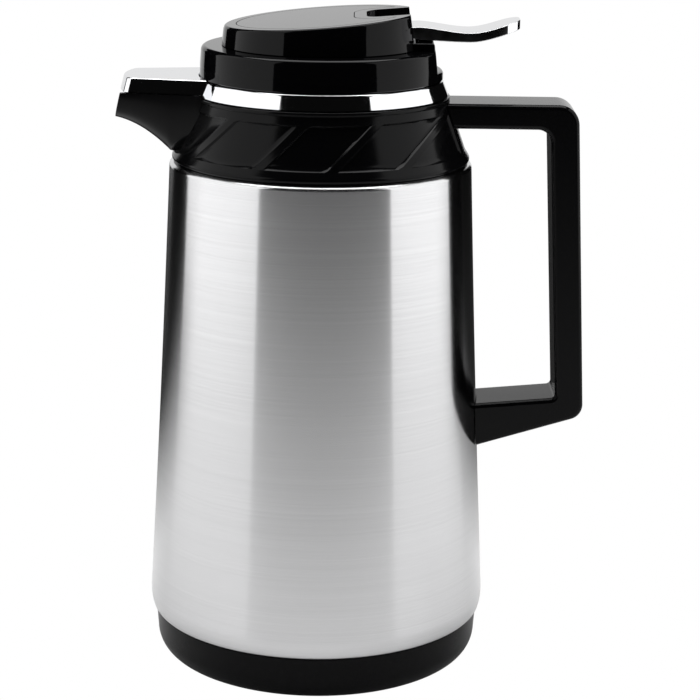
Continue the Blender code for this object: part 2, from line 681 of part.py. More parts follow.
def spout_loft(name, wall, floor_lift, top, start_x, end_x):
    """The spout's outside, or its channel when a wall is given."""
    sections = []
    for station in range(SPOUT_STATIONS + 1):
        share = station / SPOUT_STATIONS
        x = start_x + (end_x - start_x) * share
        along = min(1.0, max(0.0, (x - SPOUT_TIP_X) / (SPOUT_TAPER_X - SPOUT_TIP_X)))
        half = SPOUT_TIP_HALF + (SPOUT_ROOT_HALF - SPOUT_TIP_HALF) * along - wall
        fade = (1 - along) ** 2
        sections.append(
            spout_section(
                x, half, top, keel_height(x) + floor_lift,
                SPOUT_TIP_BOW * fade, SPOUT_TIP_SLANT * fade,
            )
        )
    return lofted(name, sections)


def panel_cutter():
    """Slanted blocks inside a thin ring, so that each panel is sunk evenly."""
    low = PANEL_BOTTOM
    high = PANEL_TOP
    far = CONE_FOOT_RADIUS * 1.3
    outline = [
        (cone_radius(low) - PANEL_DEPTH, low),
        (far, low),
        (far, high),
        (cone_radius(high) - PANEL_DEPTH, high),
    ]
    ring = turned("panel_ring", outline)
    blocks = []
    for k in range(-2, 3):
        right = PANEL_RIGHT_EDGE + k * (PANEL_WIDTH + PANEL_RIB)
        margin = 0.002
        corners = []
        for z in (low - margin, high + margin):
            shift = PANEL_LEAN * (z - CONE_FOOT_HEIGHT)
            corners.append((right - PANEL_WIDTH + shift, right + shift, z))
        outline = [
            (corners[0][0], corners[0][2]),
            (corners[0][1], corners[0][2]),
            (corners[1][1], corners[1][2]),
            (corners[1][0], corners[1][2]),
        ]
        blocks.append(side_prism("panel_%d" % (k + 3), outline, far))
    lattice = combine(blocks[0], "UNION", *blocks[1:])
    cutter = combine(lattice, "INTERSECT", ring)
    pad = block(
        "handle_pad_guard", (0, -PAD_HALF_WIDTH, low - 0.01), (far * 1.2, PAD_HALF_WIDTH, high + 0.01),
    )
    cutter = cut(cutter, pad)
    cutter.hide_render = True
    cutter.display_type = "WIRE"
    return cutter


def make_shoulder(black):
    """Cone with sunk slanted panels, rim flange, upstand and the spout."""
    bead_centre = (BEAD_REACH - BEAD_RADIUS, RIM_SEAT + BEAD_RADIUS)
    spigot = SHELL_MOUTH_RADIUS - SEAT_GAP
    wide_bore = CONE_FOOT_RADIUS - SHOULDER_WALL + SPIGOT_WALL / 4 + SEAT_GAP
    outline = [
        (spigot, SHELL_RIM_HEIGHT - SPIGOT_DEPTH),
        (spigot, RIM_SEAT),
    ]
    outline += arc(bead_centre, BEAD_RADIUS, -80, 40, 5)
    outline += [
        (CONE_FOOT_RADIUS, CONE_FOOT_HEIGHT),
        (CONE_TOP_RADIUS, CONE_TOP_HEIGHT),
        (FLANGE_RADIUS, SHOULDER_TOP - FLANGE_THICKNESS),
        (FLANGE_RADIUS, SHOULDER_TOP),
        (UPSTAND_RADIUS, SHOULDER_TOP),
        (UPSTAND_RADIUS, SHOULDER_TOP + UPSTAND_HEIGHT),
        (UPSTAND_BORE, SHOULDER_TOP + UPSTAND_HEIGHT),
        (UPSTAND_BORE, CONE_TOP_HEIGHT),
        (CONE_TOP_RADIUS - SHOULDER_WALL, CONE_TOP_HEIGHT - SHOULDER_WALL),
        (CONE_FOOT_RADIUS - SHOULDER_WALL, INSERT_LEDGE + SHOULDER_WALL / 2),
        (CONE_FOOT_RADIUS - SHOULDER_WALL - SPIGOT_WALL / 4, INSERT_LEDGE),
        (wide_bore, INSERT_LEDGE),
        (wide_bore, SHELL_RIM_HEIGHT - SPIGOT_DEPTH),
    ]
    shoulder = turned("shoulder", outline, black)
    spout = spout_loft("spout_outside", 0.0, 0.0, SPOUT_RIM, SPOUT_TIP_X, SPOUT_ROOT_X)
    bowl = turned(
        "bowl_guard",
        [
            (0, INSERT_LEDGE - 0.02),
            (CONE_FOOT_RADIUS - SHOULDER_WALL / 2, INSERT_LEDGE - 0.02),
            (CONE_FOOT_RADIUS - SHOULDER_WALL / 2, CONE_FOOT_HEIGHT),
            (CONE_TOP_RADIUS - SHOULDER_WALL / 2, CONE_TOP_HEIGHT),
            (CONE_TOP_RADIUS - SHOULDER_WALL / 2, SHOULDER_TOP - SEAT_GAP / 3),
            (RING_BOTTOM_RADIUS + SEAT_GAP, SHOULDER_TOP - SEAT_GAP / 3),
            (RING_BOTTOM_RADIUS + SEAT_GAP, COVER_TOP),
            (0, COVER_TOP),
        ],
    )
    cut(spout, bowl)
    cut(shoulder, panel_cutter())
    join(shoulder, spout)
    channel = spout_loft(
        "spout_channel", SPOUT_WALL, SPOUT_LIP_THICKNESS, SPOUT_RIM + SPOUT_WALL / 2,
        SPOUT_TIP_X - 0.006, -UPSTAND_BORE + SHOULDER_WALL * 2,
    )
    cut(shoulder, channel)
    tongue = block(
        "handle_tongue",
        (CONE_TOP_RADIUS - SHOULDER_WALL / 2, -TONGUE_HALF_WIDTH, TONGUE_BOTTOM),
        (cone_radius(TONGUE_BOTTOM) + TONGUE_LENGTH, TONGUE_HALF_WIDTH, TONGUE_BOTTOM + TONGUE_THICKNESS),
    )
    tongue_hole = rod(
        "tongue_hole", (UPPER_SCREW_X, 0, TONGUE_BOTTOM - 0.002),
        (UPPER_SCREW_X, 0, TONGUE_BOTTOM + TONGUE_THICKNESS + 0.002), UPPER_SCREW_RADIUS + SEAT_GAP,
    )
    join(shoulder, tongue)
    return cut(shoulder, tongue_hole)


def cover_outline(height, inset=0.0):
    """Plan of the spout cover at one height: tapered sides, round corners and a bowed front."""
    share = (COVER_TOP - height) / (COVER_TOP - COVER_FOOT)
    root_x = -UPSTAND_RADIUS + UPSTAND_WALL * 3 + inset
    spread = COVER_DRAFT * share - inset
    front = SPOUT_TIP_X - COVER_OVERHANG + COVER_FRONT_SLANT * (1 - share) + inset
    tip_half = COVER_TIP_HALF + spread
    root_half = COVER_ROOT_HALF + spread
    bow = []
    for step in range(-4, 5):
        across = step / 4
        bow.append((front + COVER_BOW * across**2, -tip_half * across))
    far = round_corner((root_x, root_half), bow[0], bow[1], COVER_CORNER, 3)
    near = round_corner(bow[-2], bow[-1], (root_x, -root_half), COVER_CORNER, 3)
    plan = [(root_x, root_half)] + far + bow[1:-1] + near + [(root_x, -root_half)]
    return [(x, y, height) for x, y in plan]


def make_chrome_trim(chrome):
    """Ring round the shoulder top and the flat spout cover, one plated piece."""
    outline = [(RING_BORE, RING_BOTTOM), (RING_BOTTOM_RADIUS, RING_BOTTOM)]
    outline += arc((RING_TOP_RADIUS - RING_CROWN, RING_TOP - RING_CROWN), RING_CROWN, 0, 90, 4)
    outline.append((RING_BORE, RING_TOP))
    trim = turned("chrome_trim", outline, chrome, LARGE_FACETS, 25.0)
    cover = lofted("cover_outside", [cover_outline(COVER_FOOT), cover_outline(COVER_TOP)])
    hollow = lofted(
        "cover_hollow",
        [cover_outline(COVER_FOOT - 0.002, COVER_WALL), cover_outline(COVER_TOP - COVER_WALL, COVER_WALL)],
    )
    low_bore = turned(
        "cover_low_bore",
        [(0, RING_BOTTOM - 0.005), (RING_BORE + RING_CROWN, RING_BOTTOM - 0.005),
         (RING_BORE + RING_CROWN, RING_TOP - RING_CROWN / 4), (0, RING_TOP - RING_CROWN / 4)],
    )
    lid_room = TIER_BOTTOM_RADIUS + RUN_GAP
    high_bore = turned(
        "cover_high_bore",
        [(0, RING_TOP - RING_CROWN / 2), (lid_room, RING_TOP - RING_CROWN / 2),
         (lid_room, COVER_TOP + 0.005), (0, COVER_TOP + 0.005)],
    )
    cut(cover, hollow, low_bore, high_bore)
    join(trim, cover)
    for side, word in ((-1, "near"), (1, "far")):
        angle = math.radians(side * NOTCH_ANGLE)
        out = Vector((math.cos(angle), math.sin(angle), 0))
        along = Vector((-math.sin(angle), math.cos(angle), 0))
        wedge = []
        for radius in (RING_BORE - 0.001, RING_BOTTOM_RADIUS + 0.001):
            tip = out * radius
            high = Vector((0, 0, COVER_TOP + 0.002))
            low = Vector((0, 0, RING_TOP - NOTCH_DEPTH))
            spread = NOTCH_HALF_WIDTH * (high.z - low.z) / NOTCH_DEPTH
            wedge.append([tip + low, tip + high + along * spread, tip + high - along * spread])
        cut(trim, lofted("trim_notch_" + word, wedge))
    return trim


def round_corner(before, corner, after, radius, steps):
    """Replaces a corner of an outline with an arc that is tangent to both sides."""
    a = (Vector(before) - Vector(corner)).normalized()
    b = (Vector(after) - Vector(corner)).normalized()
    half = a.angle(b) / 2
    start = Vector(corner) + a * (radius / math.tan(half))
    centre = Vector(corner) + (a + b).normalized() * (radius / math.sin(half))
    end = Vector(corner) + b * (radius / math.tan(half))
    first = math.atan2(*(start - centre).yx)
    sweep = (math.atan2(*(end - centre).yx) - first + math.pi) % (2 * math.pi) - math.pi
    return [
        tuple(centre + radius * Vector((math.cos(first + sweep * i / steps), math.sin(first + sweep * i / steps))))
        for i in range(steps + 1)
    ]


def handle_outline():
    """Side view of the C-shaped handle, its two ends left long inside the body."""
    def grip_outer(z):
        return GRIP_TOP_X + GRIP_LEAN * (HANDLE_TOP - z)

    def lower_top(x):
        return LOWER_ARM_HEIGHT + LOWER_ARM_TOP_RISE + LOWER_ARM_TOP_SLOPE * (x - LOWER_ARM_X)

    def lower_bottom(x):
        return LOWER_ARM_HEIGHT - LOWER_ARM_BOTTOM_DROP + LOWER_ARM_BOTTOM_SLOPE * (x - LOWER_ARM_X)

    upper_root = CONE_TOP_RADIUS - SHOULDER_WALL
    lower_root = LOWER_ARM_X - 0.012
    underside = HANDLE_TOP - ARM_HEIGHT
    outer_foot_x = grip_outer(lower_bottom(GRIP_TOP_X))
    outer_foot = (outer_foot_x, lower_bottom(outer_foot_x))
    inner_top = (grip_outer(underside) - GRIP_THICKNESS, underside)
    inner_foot_x = grip_outer(LOWER_ARM_HEIGHT + LOWER_ARM_TOP_RISE) - GRIP_THICKNESS
    inner_foot = (inner_foot_x, lower_top(inner_foot_x))
    start = (upper_root, HANDLE_TOP)
    outer_top = (grip_outer(HANDLE_TOP), HANDLE_TOP)
    lower_end = (lower_root, lower_bottom(lower_root))
    upper_end = (upper_root, underside)
    lower_start = (lower_root, lower_top(lower_root))
    outline = [start]
    outline += round_corner(start, outer_top, outer_foot, OUTER_CORNER_RADIUS, 6)
    outline += round_corner(outer_top, outer_foot, lower_end, LOWER_CORNER_RADIUS, 6)
    outline += [lower_end, lower_start]
    outline += round_corner(lower_start, inner_foot, inner_top, GRIP_THICKNESS / 6, 3)
    outline += round_corner(inner_foot, inner_top, upper_end, INNER_CORNER_RADIUS, 5)
    outline.append(upper_end)
    return outline


def make_handle(black):
    """C-shaped handle with eased edges, a socket for the tongue and a hole for the lower screw."""
    handle = side_prism("handle", handle_outline(), HANDLE_HALF_WIDTH, black)
    eased = handle.modifiers.new("eased_edges", "BEVEL")
    eased.width = HANDLE_EDGE
    eased.segments = 2
    eased.limit_method = "ANGLE"
    eased.angle_limit = math.radians(60)
    clearance = SEAT_GAP
    body_outline = [(0, SHELL_CURL_TOP)]
    for i in range(5):
        z = SHELL_CURL_TOP + (SHELL_LIP_START - SHELL_CURL_TOP) * i / 4
        body_outline.append((shell_radius(z) + clearance, z))
    body_outline += [
        (SHELL_TOP_RADIUS + clearance, CONE_FOOT_HEIGHT),
        (CONE_FOOT_RADIUS + clearance, CONE_FOOT_HEIGHT),
        (CONE_TOP_RADIUS + clearance, CONE_TOP_HEIGHT),
        (FLANGE_RADIUS + clearance, SHOULDER_TOP - FLANGE_THICKNESS),
        (FLANGE_RADIUS + clearance, SHOULDER_TOP + RING_HEIGHT),
        (0, SHOULDER_TOP + RING_HEIGHT),
    ]
    body = turned("body_guard", body_outline)
    socket = block(
        "tongue_socket",
        (CONE_TOP_RADIUS - 0.004, -TONGUE_HALF_WIDTH - clearance, TONGUE_BOTTOM - clearance),
        (cone_radius(TONGUE_BOTTOM) + TONGUE_LENGTH + clearance, TONGUE_HALF_WIDTH + clearance,
         TONGUE_BOTTOM + TONGUE_THICKNESS + clearance),
    )
    underside = HANDLE_TOP - ARM_HEIGHT
    head_recess = rod(
        "upper_screw_recess", (UPPER_SCREW_X, 0, underside - 0.003),
        (UPPER_SCREW_X, 0, underside + UPPER_SCREW_HEAD_HEIGHT + 2 * clearance),
        UPPER_SCREW_HEAD_RADIUS + clearance,
    )
    shank_hole = rod(
        "upper_screw_hole", (UPPER_SCREW_X, 0, underside - 0.002),
        (UPPER_SCREW_X, 0, TONGUE_BOTTOM + TONGUE_THICKNESS + clearance / 2),
        UPPER_SCREW_RADIUS + clearance,
    )
    lower_hole = rod(
        "lower_screw_hole", (SHELL_TOP_RADIUS - 0.01, 0, LOWER_SCREW_HEIGHT),
        (shell_radius(LOWER_SCREW_HEIGHT) + LOWER_SCREW_LENGTH, 0, LOWER_SCREW_HEIGHT),
        LOWER_SCREW_RADIUS + clearance,
    )
    return cut(handle, body, socket, head_recess, shank_hole, lower_hole)


def make_screw(name, seat, direction, head, shank, steel):
    """A screw whose head bears on seat and whose shank runs along direction."""
    head_radius, head_height = head
    shank_radius, shank_length = shank
    way = Vector(direction)
    start = Vector(seat)
    screw = rod(name, start - way * head_height, start, head_radius, steel)
    core = rod(name + "_core", start - way * head_height / 2, start + way * shank_length, shank_radius)
    return join(screw, core)


def make_handle_fixings(steel):
    """Upper screw into the tongue; bracket and lower screw inside the shell."""
    underside = HANDLE_TOP - ARM_HEIGHT
    upper_seat = (UPPER_SCREW_X, 0, underside + UPPER_SCREW_HEAD_HEIGHT + SEAT_GAP)
    make_screw(
        "handle_screw_upper", upper_seat, (0, 0, 1),
        (UPPER_SCREW_HEAD_RADIUS, UPPER_SCREW_HEAD_HEIGHT),
        (UPPER_SCREW_RADIUS, TONGUE_BOTTOM + TONGUE_THICKNESS - SEAT_GAP - upper_seat[2]), steel,
    )
    sections = []
    for step in range(-4, 5):
        angle = math.radians(BRACKET_HALF_ANGLE * step / 4)
        section = []
        for z, depth in (
            (LOWER_SCREW_HEIGHT - BRACKET_HALF_HEIGHT, BRACKET_THICKNESS),
            (LOWER_SCREW_HEIGHT - BRACKET_HALF_HEIGHT, 0),
            (LOWER_SCREW_HEIGHT + BRACKET_HALF_HEIGHT, 0),
            (LOWER_SCREW_HEIGHT + BRACKET_HALF_HEIGHT, BRACKET_THICKNESS),
        ):
            radius = shell_radius(z) - SHELL_WALL - SEAT_GAP - depth
            section.append((radius * math.cos(angle), radius * math.sin(angle), z))
        sections.append(section)
    bracket = lofted("handle_bracket", sections, steel)
    inner = shell_radius(LOWER_SCREW_HEIGHT) - SHELL_WALL - SEAT_GAP - BRACKET_THICKNESS
    hole = rod(
        "bracket_hole", (inner - 0.004, 0, LOWER_SCREW_HEIGHT),
        (inner + 0.006, 0, LOWER_SCREW_HEIGHT), LOWER_SCREW_RADIUS + SEAT_GAP,
    )
    cut(bracket, hole)
    lean = (SHELL_FOOT_RADIUS - SHELL_TOP_RADIUS) / (SHELL_LIP_START - SHELL_CURL_TOP)
    seat_x = inner - SEAT_GAP - lean * LOWER_SCREW_HEAD_RADIUS * 1.5
    make_screw(
        "handle_screw_lower", (seat_x, 0, LOWER_SCREW_HEIGHT), (1, 0, 0),
        (LOWER_SCREW_HEAD_RADIUS, LOWER_SCREW_HEAD_HEIGHT),
        (LOWER_SCREW_RADIUS, LOWER_SCREW_LENGTH), steel,
    )


def make_lid_collar(black):
    """Lower tier of the lid: skirt with a flat at the rear, top plate, platform and pin ears."""
    plate_bottom = TIER_TOP - TIER_WALL
    crown = arc((TIER_TOP_RADIUS - TIER_EDGE, TIER_TOP - TIER_EDGE), TIER_EDGE, 0, 90, 5)
    outline = [(0, TIER_BOTTOM), (TIER_BOTTOM_RADIUS, TIER_BOTTOM)] + crown + [(0, TIER_TOP)]
    collar = turned("lid_collar", outline, black)
    flat_top = REAR_FLAT_X - REAR_FLAT_LEAN * (PLATFORM_TOP - TIER_TOP)
    flat_foot = REAR_FLAT_X + REAR_FLAT_LEAN * (TIER_TOP - REAR_LEDGE)
    crown = arc((flat_top - PLATFORM_EDGE, PLATFORM_TOP - PLATFORM_EDGE), PLATFORM_EDGE, 0, 90, 4)
    platform = side_prism(
        "lever_platform",
        [(flat_foot, REAR_LEDGE - TIER_WALL)] + crown
        + [(CAP_WALL_INNER_X, PLATFORM_TOP), (CAP_WALL_INNER_X, REAR_LEDGE - TIER_WALL)],
        PLATFORM_HALF_WIDTH,
    )
    high = PLATFORM_TOP + TIER_EDGE
    far = TIER_BOTTOM_RADIUS * 1.2
    ledge_edge = arc(
        (TIER_BOTTOM_RADIUS - REAR_LEDGE_EDGE, REAR_LEDGE - REAR_LEDGE_EDGE), REAR_LEDGE_EDGE, 90, 0, 4,
    )
    rear_cut = turned(
        "rear_ledge",
        [(0, high), (far, high), (far, REAR_LEDGE - REAR_LEDGE_EDGE)] + ledge_edge[::-1] + [(0, REAR_LEDGE)],
    )
    rear_room = side_prism(
        "rear_flat",
        [(flat_foot + REAR_FLAT_LEAN * TIER_WALL, REAR_LEDGE - TIER_WALL), (far * 1.1, REAR_LEDGE - TIER_WALL),
         (far * 1.1, high + TIER_WALL), (flat_top - REAR_FLAT_LEAN * (high + TIER_WALL - PLATFORM_TOP), high + TIER_WALL)],
        far * 1.1,
    )
    combine(rear_cut, "INTERSECT", rear_room)
    rear_cut.hide_render = True
    rear_cut.display_type = "WIRE"
    cavity = turned(
        "collar_cavity",
        [(0, TIER_BOTTOM - 0.002), (TIER_BOTTOM_RADIUS - TIER_WALL, TIER_BOTTOM - 0.002),
         (TIER_TOP_RADIUS - TIER_WALL, plate_bottom), (0, plate_bottom)],
    )
    rear_guard = block(
        "rear_wall_guard", (REAR_FLAT_X - TIER_WALL, -TIER_BOTTOM_RADIUS, REAR_LEDGE - TIER_WALL),
        (far, TIER_BOTTOM_RADIUS, TIER_TOP + 0.001),
    )
    cut(cavity, rear_guard)
    pocket = block(
        "platform_pocket",
        (CAP_FLAT_X, -PLATFORM_HALF_WIDTH + TIER_WALL, TIER_TOP - 2 * TIER_WALL),
        (REAR_FLAT_X - TIER_WALL, PLATFORM_HALF_WIDTH - TIER_WALL, PLATFORM_TOP - TIER_WALL),
    )
    bore = rod("collar_bore", (0, 0, plate_bottom - 0.002), (0, 0, TIER_TOP + 0.002), TIER_BORE, None, SMALL_FACETS)
    join(collar, platform)
    cut(collar, rear_cut, cavity, pocket, bore)
    for side, word in ((-1, "near"), (1, "far")):
        foot = block(
            "ear_foot_" + word,
            (PIVOT_X - EAR_RADIUS, side * (EAR_NEAR + EAR_FAR) / 2 - EAR_THICKNESS / 2, PLATFORM_TOP - TIER_WALL / 2),
            (PIVOT_X + EAR_RADIUS, side * (EAR_NEAR + EAR_FAR) / 2 + EAR_THICKNESS / 2, PIVOT_Z),
        )
        head = rod("ear_head_" + word, (PIVOT_X, side * EAR_NEAR, PIVOT_Z), (PIVOT_X, side * EAR_FAR, PIVOT_Z), EAR_RADIUS)
        join(collar, foot, head)
    ear_hole = rod(
        "ear_hole", (PIVOT_X, -EAR_FAR - 0.001, PIVOT_Z), (PIVOT_X, EAR_FAR + 0.001, PIVOT_Z),
        LEVER_PIN_RADIUS + SEAT_GAP / 2,
    )
    cut(collar, ear_hole)
    for number, (x, y) in enumerate(LID_SCREW_PLACES, 1):
        cut(
            collar,
            rod("collar_hole_%d" % number, (x, y, plate_bottom - 0.002), (x, y, TIER_TOP + 0.002),
                LID_SCREW_RADIUS + SEAT_GAP),
        )
    return collar


def slanted_ring(radius, height_at, facets=MEDIUM_FACETS):
    """A circle of points whose height follows a function of x."""
    points = []
    for step in range(facets):
        angle = 2 * math.pi * step / facets
        x = radius * math.cos(angle)
        points.append((x, radius * math.sin(angle), height_at(x)))
    return points


def slot_plan(grow, steps=4):
    """Plan of the lever slot, round at its inner corners and open towards the handle."""
    reach = CAP_BOTTOM_RADIUS + 0.01
    half = SLOT_HALF_WIDTH + grow
    radius = SLOT_CORNER + grow
    inner = SLOT_END_X - grow
    far = arc((inner + radius, half - radius), radius, 90, 180, steps)
    near = arc((inner + radius, radius - half), radius, 180, 270, steps)
    return [(reach, half)] + far + near + [(reach, -half)]


def inlay_plan(grow):
    """Round plate that goes hollow where it passes the slot; grow widens it for its recess."""
    radius = INLAY_RADIUS + grow
    half = SLOT_HALF_WIDTH + INLAY_BORDER - grow
    corner = SLOT_CORNER + INLAY_BORDER - grow
    inner = SLOT_END_X - INLAY_BORDER + grow
    meet_x = math.sqrt(radius**2 - half**2)
    rim_angle = math.degrees(math.atan2(half, meet_x))
    rim = arc((0, 0), radius, rim_angle, 360 - rim_angle, 40)
    near = arc((inner + corner, corner - half), corner, 270, 180, 5)
    far = arc((inner + corner, half - corner), corner, 180, 90, 5)
    return rim + near + far


def slanted_plate(name, plan, top_depth, bottom_depth, material=None):
    """A plan outline as a plate that lies along the slanted lid top."""
    sections = [[(x, y, cap_plane(x, depth)) for x, y in plan] for depth in (bottom_depth, top_depth)]
    return lofted(name, sections, material)


def make_lid_cap(black):
    """Upper tier: shell with a slanted top and a rear flat, the slot with its walls, and bosses."""
    outer = [
        slanted_ring(CAP_BOTTOM_RADIUS, lambda x: CAP_BOTTOM),
    ]
    for angle in (0, 30, 60, 90):
        ease = math.radians(angle)
        radius = CAP_TOP_RADIUS - CAP_EDGE * (1 - math.cos(ease))
        depth = CAP_EDGE * (1 - math.sin(ease))
        outer.append(slanted_ring(radius, lambda x, depth=depth: cap_plane(x, depth)))
    cap = lofted("lid_cap", outer, black)
    high = cap_plane(CAP_BOTTOM_RADIUS) + 0.01
    far = CAP_BOTTOM_RADIUS * 1.2
    cavity = lofted(
        "cap_cavity",
        [
            slanted_ring(CAP_BOTTOM_RADIUS - CAP_WALL, lambda x: CAP_BOTTOM - 0.002),
            slanted_ring(CAP_TOP_RADIUS - CAP_WALL, lambda x: cap_plane(x, CAP_ROOF)),
        ],
    )
    walls = lofted(
        "slot_walls",
        [[(x, y, z) for x, y in slot_plan(SLOT_WALL)] for z in (CAP_BOTTOM, high)],
    )
    rear_guard = block("cap_rear_guard", (CAP_WALL_INNER_X, -far, CAP_BOTTOM), (far, far, high))
    cut(cavity, walls, rear_guard)
    slot = lofted(
        "lever_slot",
        [[(x, y, z) for x, y in slot_plan(0.0)] for z in (CAP_BOTTOM + SLOT_SILL, high)],
    )
    window_half = ARM_HALF_WIDTH + 2 * RUN_GAP
    arm_slope = (LEVER_INNER_BOTTOM + ARM_THICKNESS - ARM_TOP) / (ARM_ROOT_X - FORK_END_X)
    arm_top = ARM_TOP + arm_slope * (SLOT_END_X - FORK_END_X)
    arm_lift = (PIVOT_X - SLOT_END_X + SLOT_WALL) * math.sin(math.radians(LEVER_TRAVEL))
    window = block(
        "lever_arm_window", (SLOT_END_X - SLOT_WALL - 0.002, -window_half, CAP_BOTTOM - 0.001),
        (SLOT_END_X + SLOT_CORNER, window_half, arm_top + arm_lift + 2 * RUN_GAP),
    )
    rear_flat = side_prism(
        "cap_rear_flat",
        [(CAP_FLAT_X, CAP_BOTTOM - 0.001), (far, CAP_BOTTOM - 0.001), (far, high),
         (CAP_FLAT_X - CAP_FLAT_LEAN * (high - CAP_BOTTOM), high)],
        far,
    )
    platform_room = block(
        "platform_room", (CAP_WALL_INNER_X - CAP_WALL, -PLATFORM_HALF_WIDTH - SEAT_GAP, CAP_BOTTOM - 0.001),
        (far, PLATFORM_HALF_WIDTH + SEAT_GAP, PLATFORM_TOP + SEAT_GAP),
    )
    cut(cap, cavity, slot, window, rear_flat, platform_room)
    recess = slanted_plate("inlay_recess", inlay_plan(SEAT_GAP), -0.002, INLAY_THICKNESS + SEAT_GAP)
    cut(cap, recess)
    for number, (x, y) in enumerate(LID_SCREW_PLACES, 1):
        boss = rod(
            "cap_boss_%d" % number, (x, y, CAP_BOTTOM), (x, y, cap_plane(x, CAP_ROOF / 2)),
            LID_BOSS_RADIUS,
        )
        join(cap, boss)
        hole = rod(
            "cap_boss_hole_%d" % number, (x, y, CAP_BOTTOM - 0.001),
            (x, y, cap_plane(x, CAP_ROOF) - SEAT_GAP), LID_SCREW_RADIUS + SEAT_GAP,
        )
        cut(cap, hole)
    return cap


def hermite(start, end, start_slope, end_slope, steps):
    """Points along a cubic from start to end with a given slope at each end; the first is left out."""
    span = end[0] - start[0]
    points = []
    for step in range(1, steps + 1):
        share = step / steps
        rise = (3 - 2 * share) * share**2
        bend = start_slope * share * (1 - share) ** 2 - end_slope * (1 - share) * share**2
        points.append((start[0] + span * share, start[1] + (end[1] - start[1]) * rise + span * bend))
    return points


def lever_outline():
    """Side view of the thumb lever: level over the pin, dipping, then turned up at the tip."""
    flat_top = (LEVER_FLAT_X, PIVOT_Z + LEVER_FLAT_RISE)
    flat_bottom = (LEVER_FLAT_X, PIVOT_Z - LEVER_FLAT_DROP)
    low_top = (LEVER_LOW_X, PIVOT_Z + LEVER_LOW_RISE)
    low_bottom = (LEVER_LOW_X, PIVOT_Z - LEVER_LOW_DROP)
    tip_top = (LEVER_TIP_X, PIVOT_Z + LEVER_TIP_RISE)
    tip_bottom = (LEVER_TIP_X, PIVOT_Z + LEVER_TIP_RISE - LEVER_TIP_THICKNESS)
    top = [(LEVER_INNER_X, PIVOT_Z + LEVER_INNER_RISE), flat_top]
    top += hermite(flat_top, low_top, LEVER_FLAT_SLOPE, 0, 5)
    top += hermite(low_top, tip_top, 0, LEVER_TIP_SLOPE, 6)
    bottom = [(LEVER_INNER_X, LEVER_INNER_BOTTOM), (CAP_WALL_INNER_X, LEVER_INNER_BOTTOM), flat_bottom]
    bottom += hermite(flat_bottom, low_bottom, LEVER_FLAT_SLOPE, 0, 5)
    bottom += hermite(low_bottom, tip_bottom, 0, LEVER_TIP_SLOPE, 6)
    return top + bottom[::-1]


def make_lever(chrome):
    """Thumb lever: paddle with a turned-up tip, pocket for the ears, forked arm to the stem."""
    lever = side_prism("lever", lever_outline(), LEVER_HALF_WIDTH + 0.002, chrome)
    plan = arc((LEVER_INNER_X + LEVER_INNER_ROUND, LEVER_HALF_WIDTH - LEVER_INNER_ROUND), LEVER_INNER_ROUND, 90, 180, 4)
    plan += arc((LEVER_INNER_X + LEVER_INNER_ROUND, LEVER_INNER_ROUND - LEVER_HALF_WIDTH), LEVER_INNER_ROUND, 180, 270, 4)
    plan += arc((LEVER_TIP_X - LEVER_TIP_ROUND, LEVER_TIP_ROUND - LEVER_HALF_WIDTH), LEVER_TIP_ROUND, 270, 360, 5)
    plan += arc((LEVER_TIP_X - LEVER_TIP_ROUND, LEVER_HALF_WIDTH - LEVER_TIP_ROUND), LEVER_TIP_ROUND, 0, 90, 5)
    trimmer = lofted(
        "lever_plan", [[(x, y, z) for x, y in plan] for z in (PIVOT_Z - 0.03, PIVOT_Z + 0.03)],
    )
    combine(lever, "INTERSECT", trimmer)
    arm = side_prism(
        "lever_arm",
        [
            (ARM_ROOT_X, LEVER_INNER_BOTTOM + ARM_THICKNESS),
            (FORK_END_X, ARM_TOP),
            (FORK_END_X, FORK_BOTTOM),
            (ARM_STEP_X, FORK_BOTTOM),
            (ARM_STEP_X, ARM_TOP - 0.0014),
            (ARM_ROOT_X, LEVER_INNER_BOTTOM - 0.0016),
            (CAP_WALL_INNER_X, LEVER_INNER_BOTTOM + 0.0008),
        ],
        ARM_HALF_WIDTH,
    )
    fork_gap = block(
        "fork_gap", (FORK_END_X - 0.005, -FORK_SLOT_HALF_WIDTH, FORK_BOTTOM - 0.002),
        (STEM_RADIUS + 2 * FORK_SHIFT, FORK_SLOT_HALF_WIDTH, PIVOT_Z),
    )
    mouth = STEM_PIN_RADIUS + SEAT_GAP
    pin_mouth = block(
        "fork_mouth", (FORK_END_X - 0.005, -ARM_HALF_WIDTH - 0.001, STEM_PIN_Z - mouth),
        (STEM_PIN_RADIUS + 2 * FORK_SHIFT, ARM_HALF_WIDTH + 0.001, STEM_PIN_Z + mouth),
    )
    ear_pocket = block(
        "ear_pocket", (PIVOT_X - EAR_RADIUS - EAR_ROOM, -EAR_FAR - EAR_ROOM, PIVOT_Z - 0.01),
        (PIVOT_X + EAR_RADIUS + EAR_ROOM, EAR_FAR + EAR_ROOM, PIVOT_Z + EAR_RADIUS + SEAT_GAP),
    )
    bore = rod(
        "lever_bore", (PIVOT_X, -LEVER_PIN_HALF_LENGTH - SEAT_GAP, PIVOT_Z),
        (PIVOT_X, LEVER_PIN_HALF_LENGTH + SEAT_GAP, PIVOT_Z), LEVER_PIN_RADIUS + SEAT_GAP,
    )
    join(lever, arm)
    return cut(lever, fork_gap, pin_mouth, ear_pocket, bore)


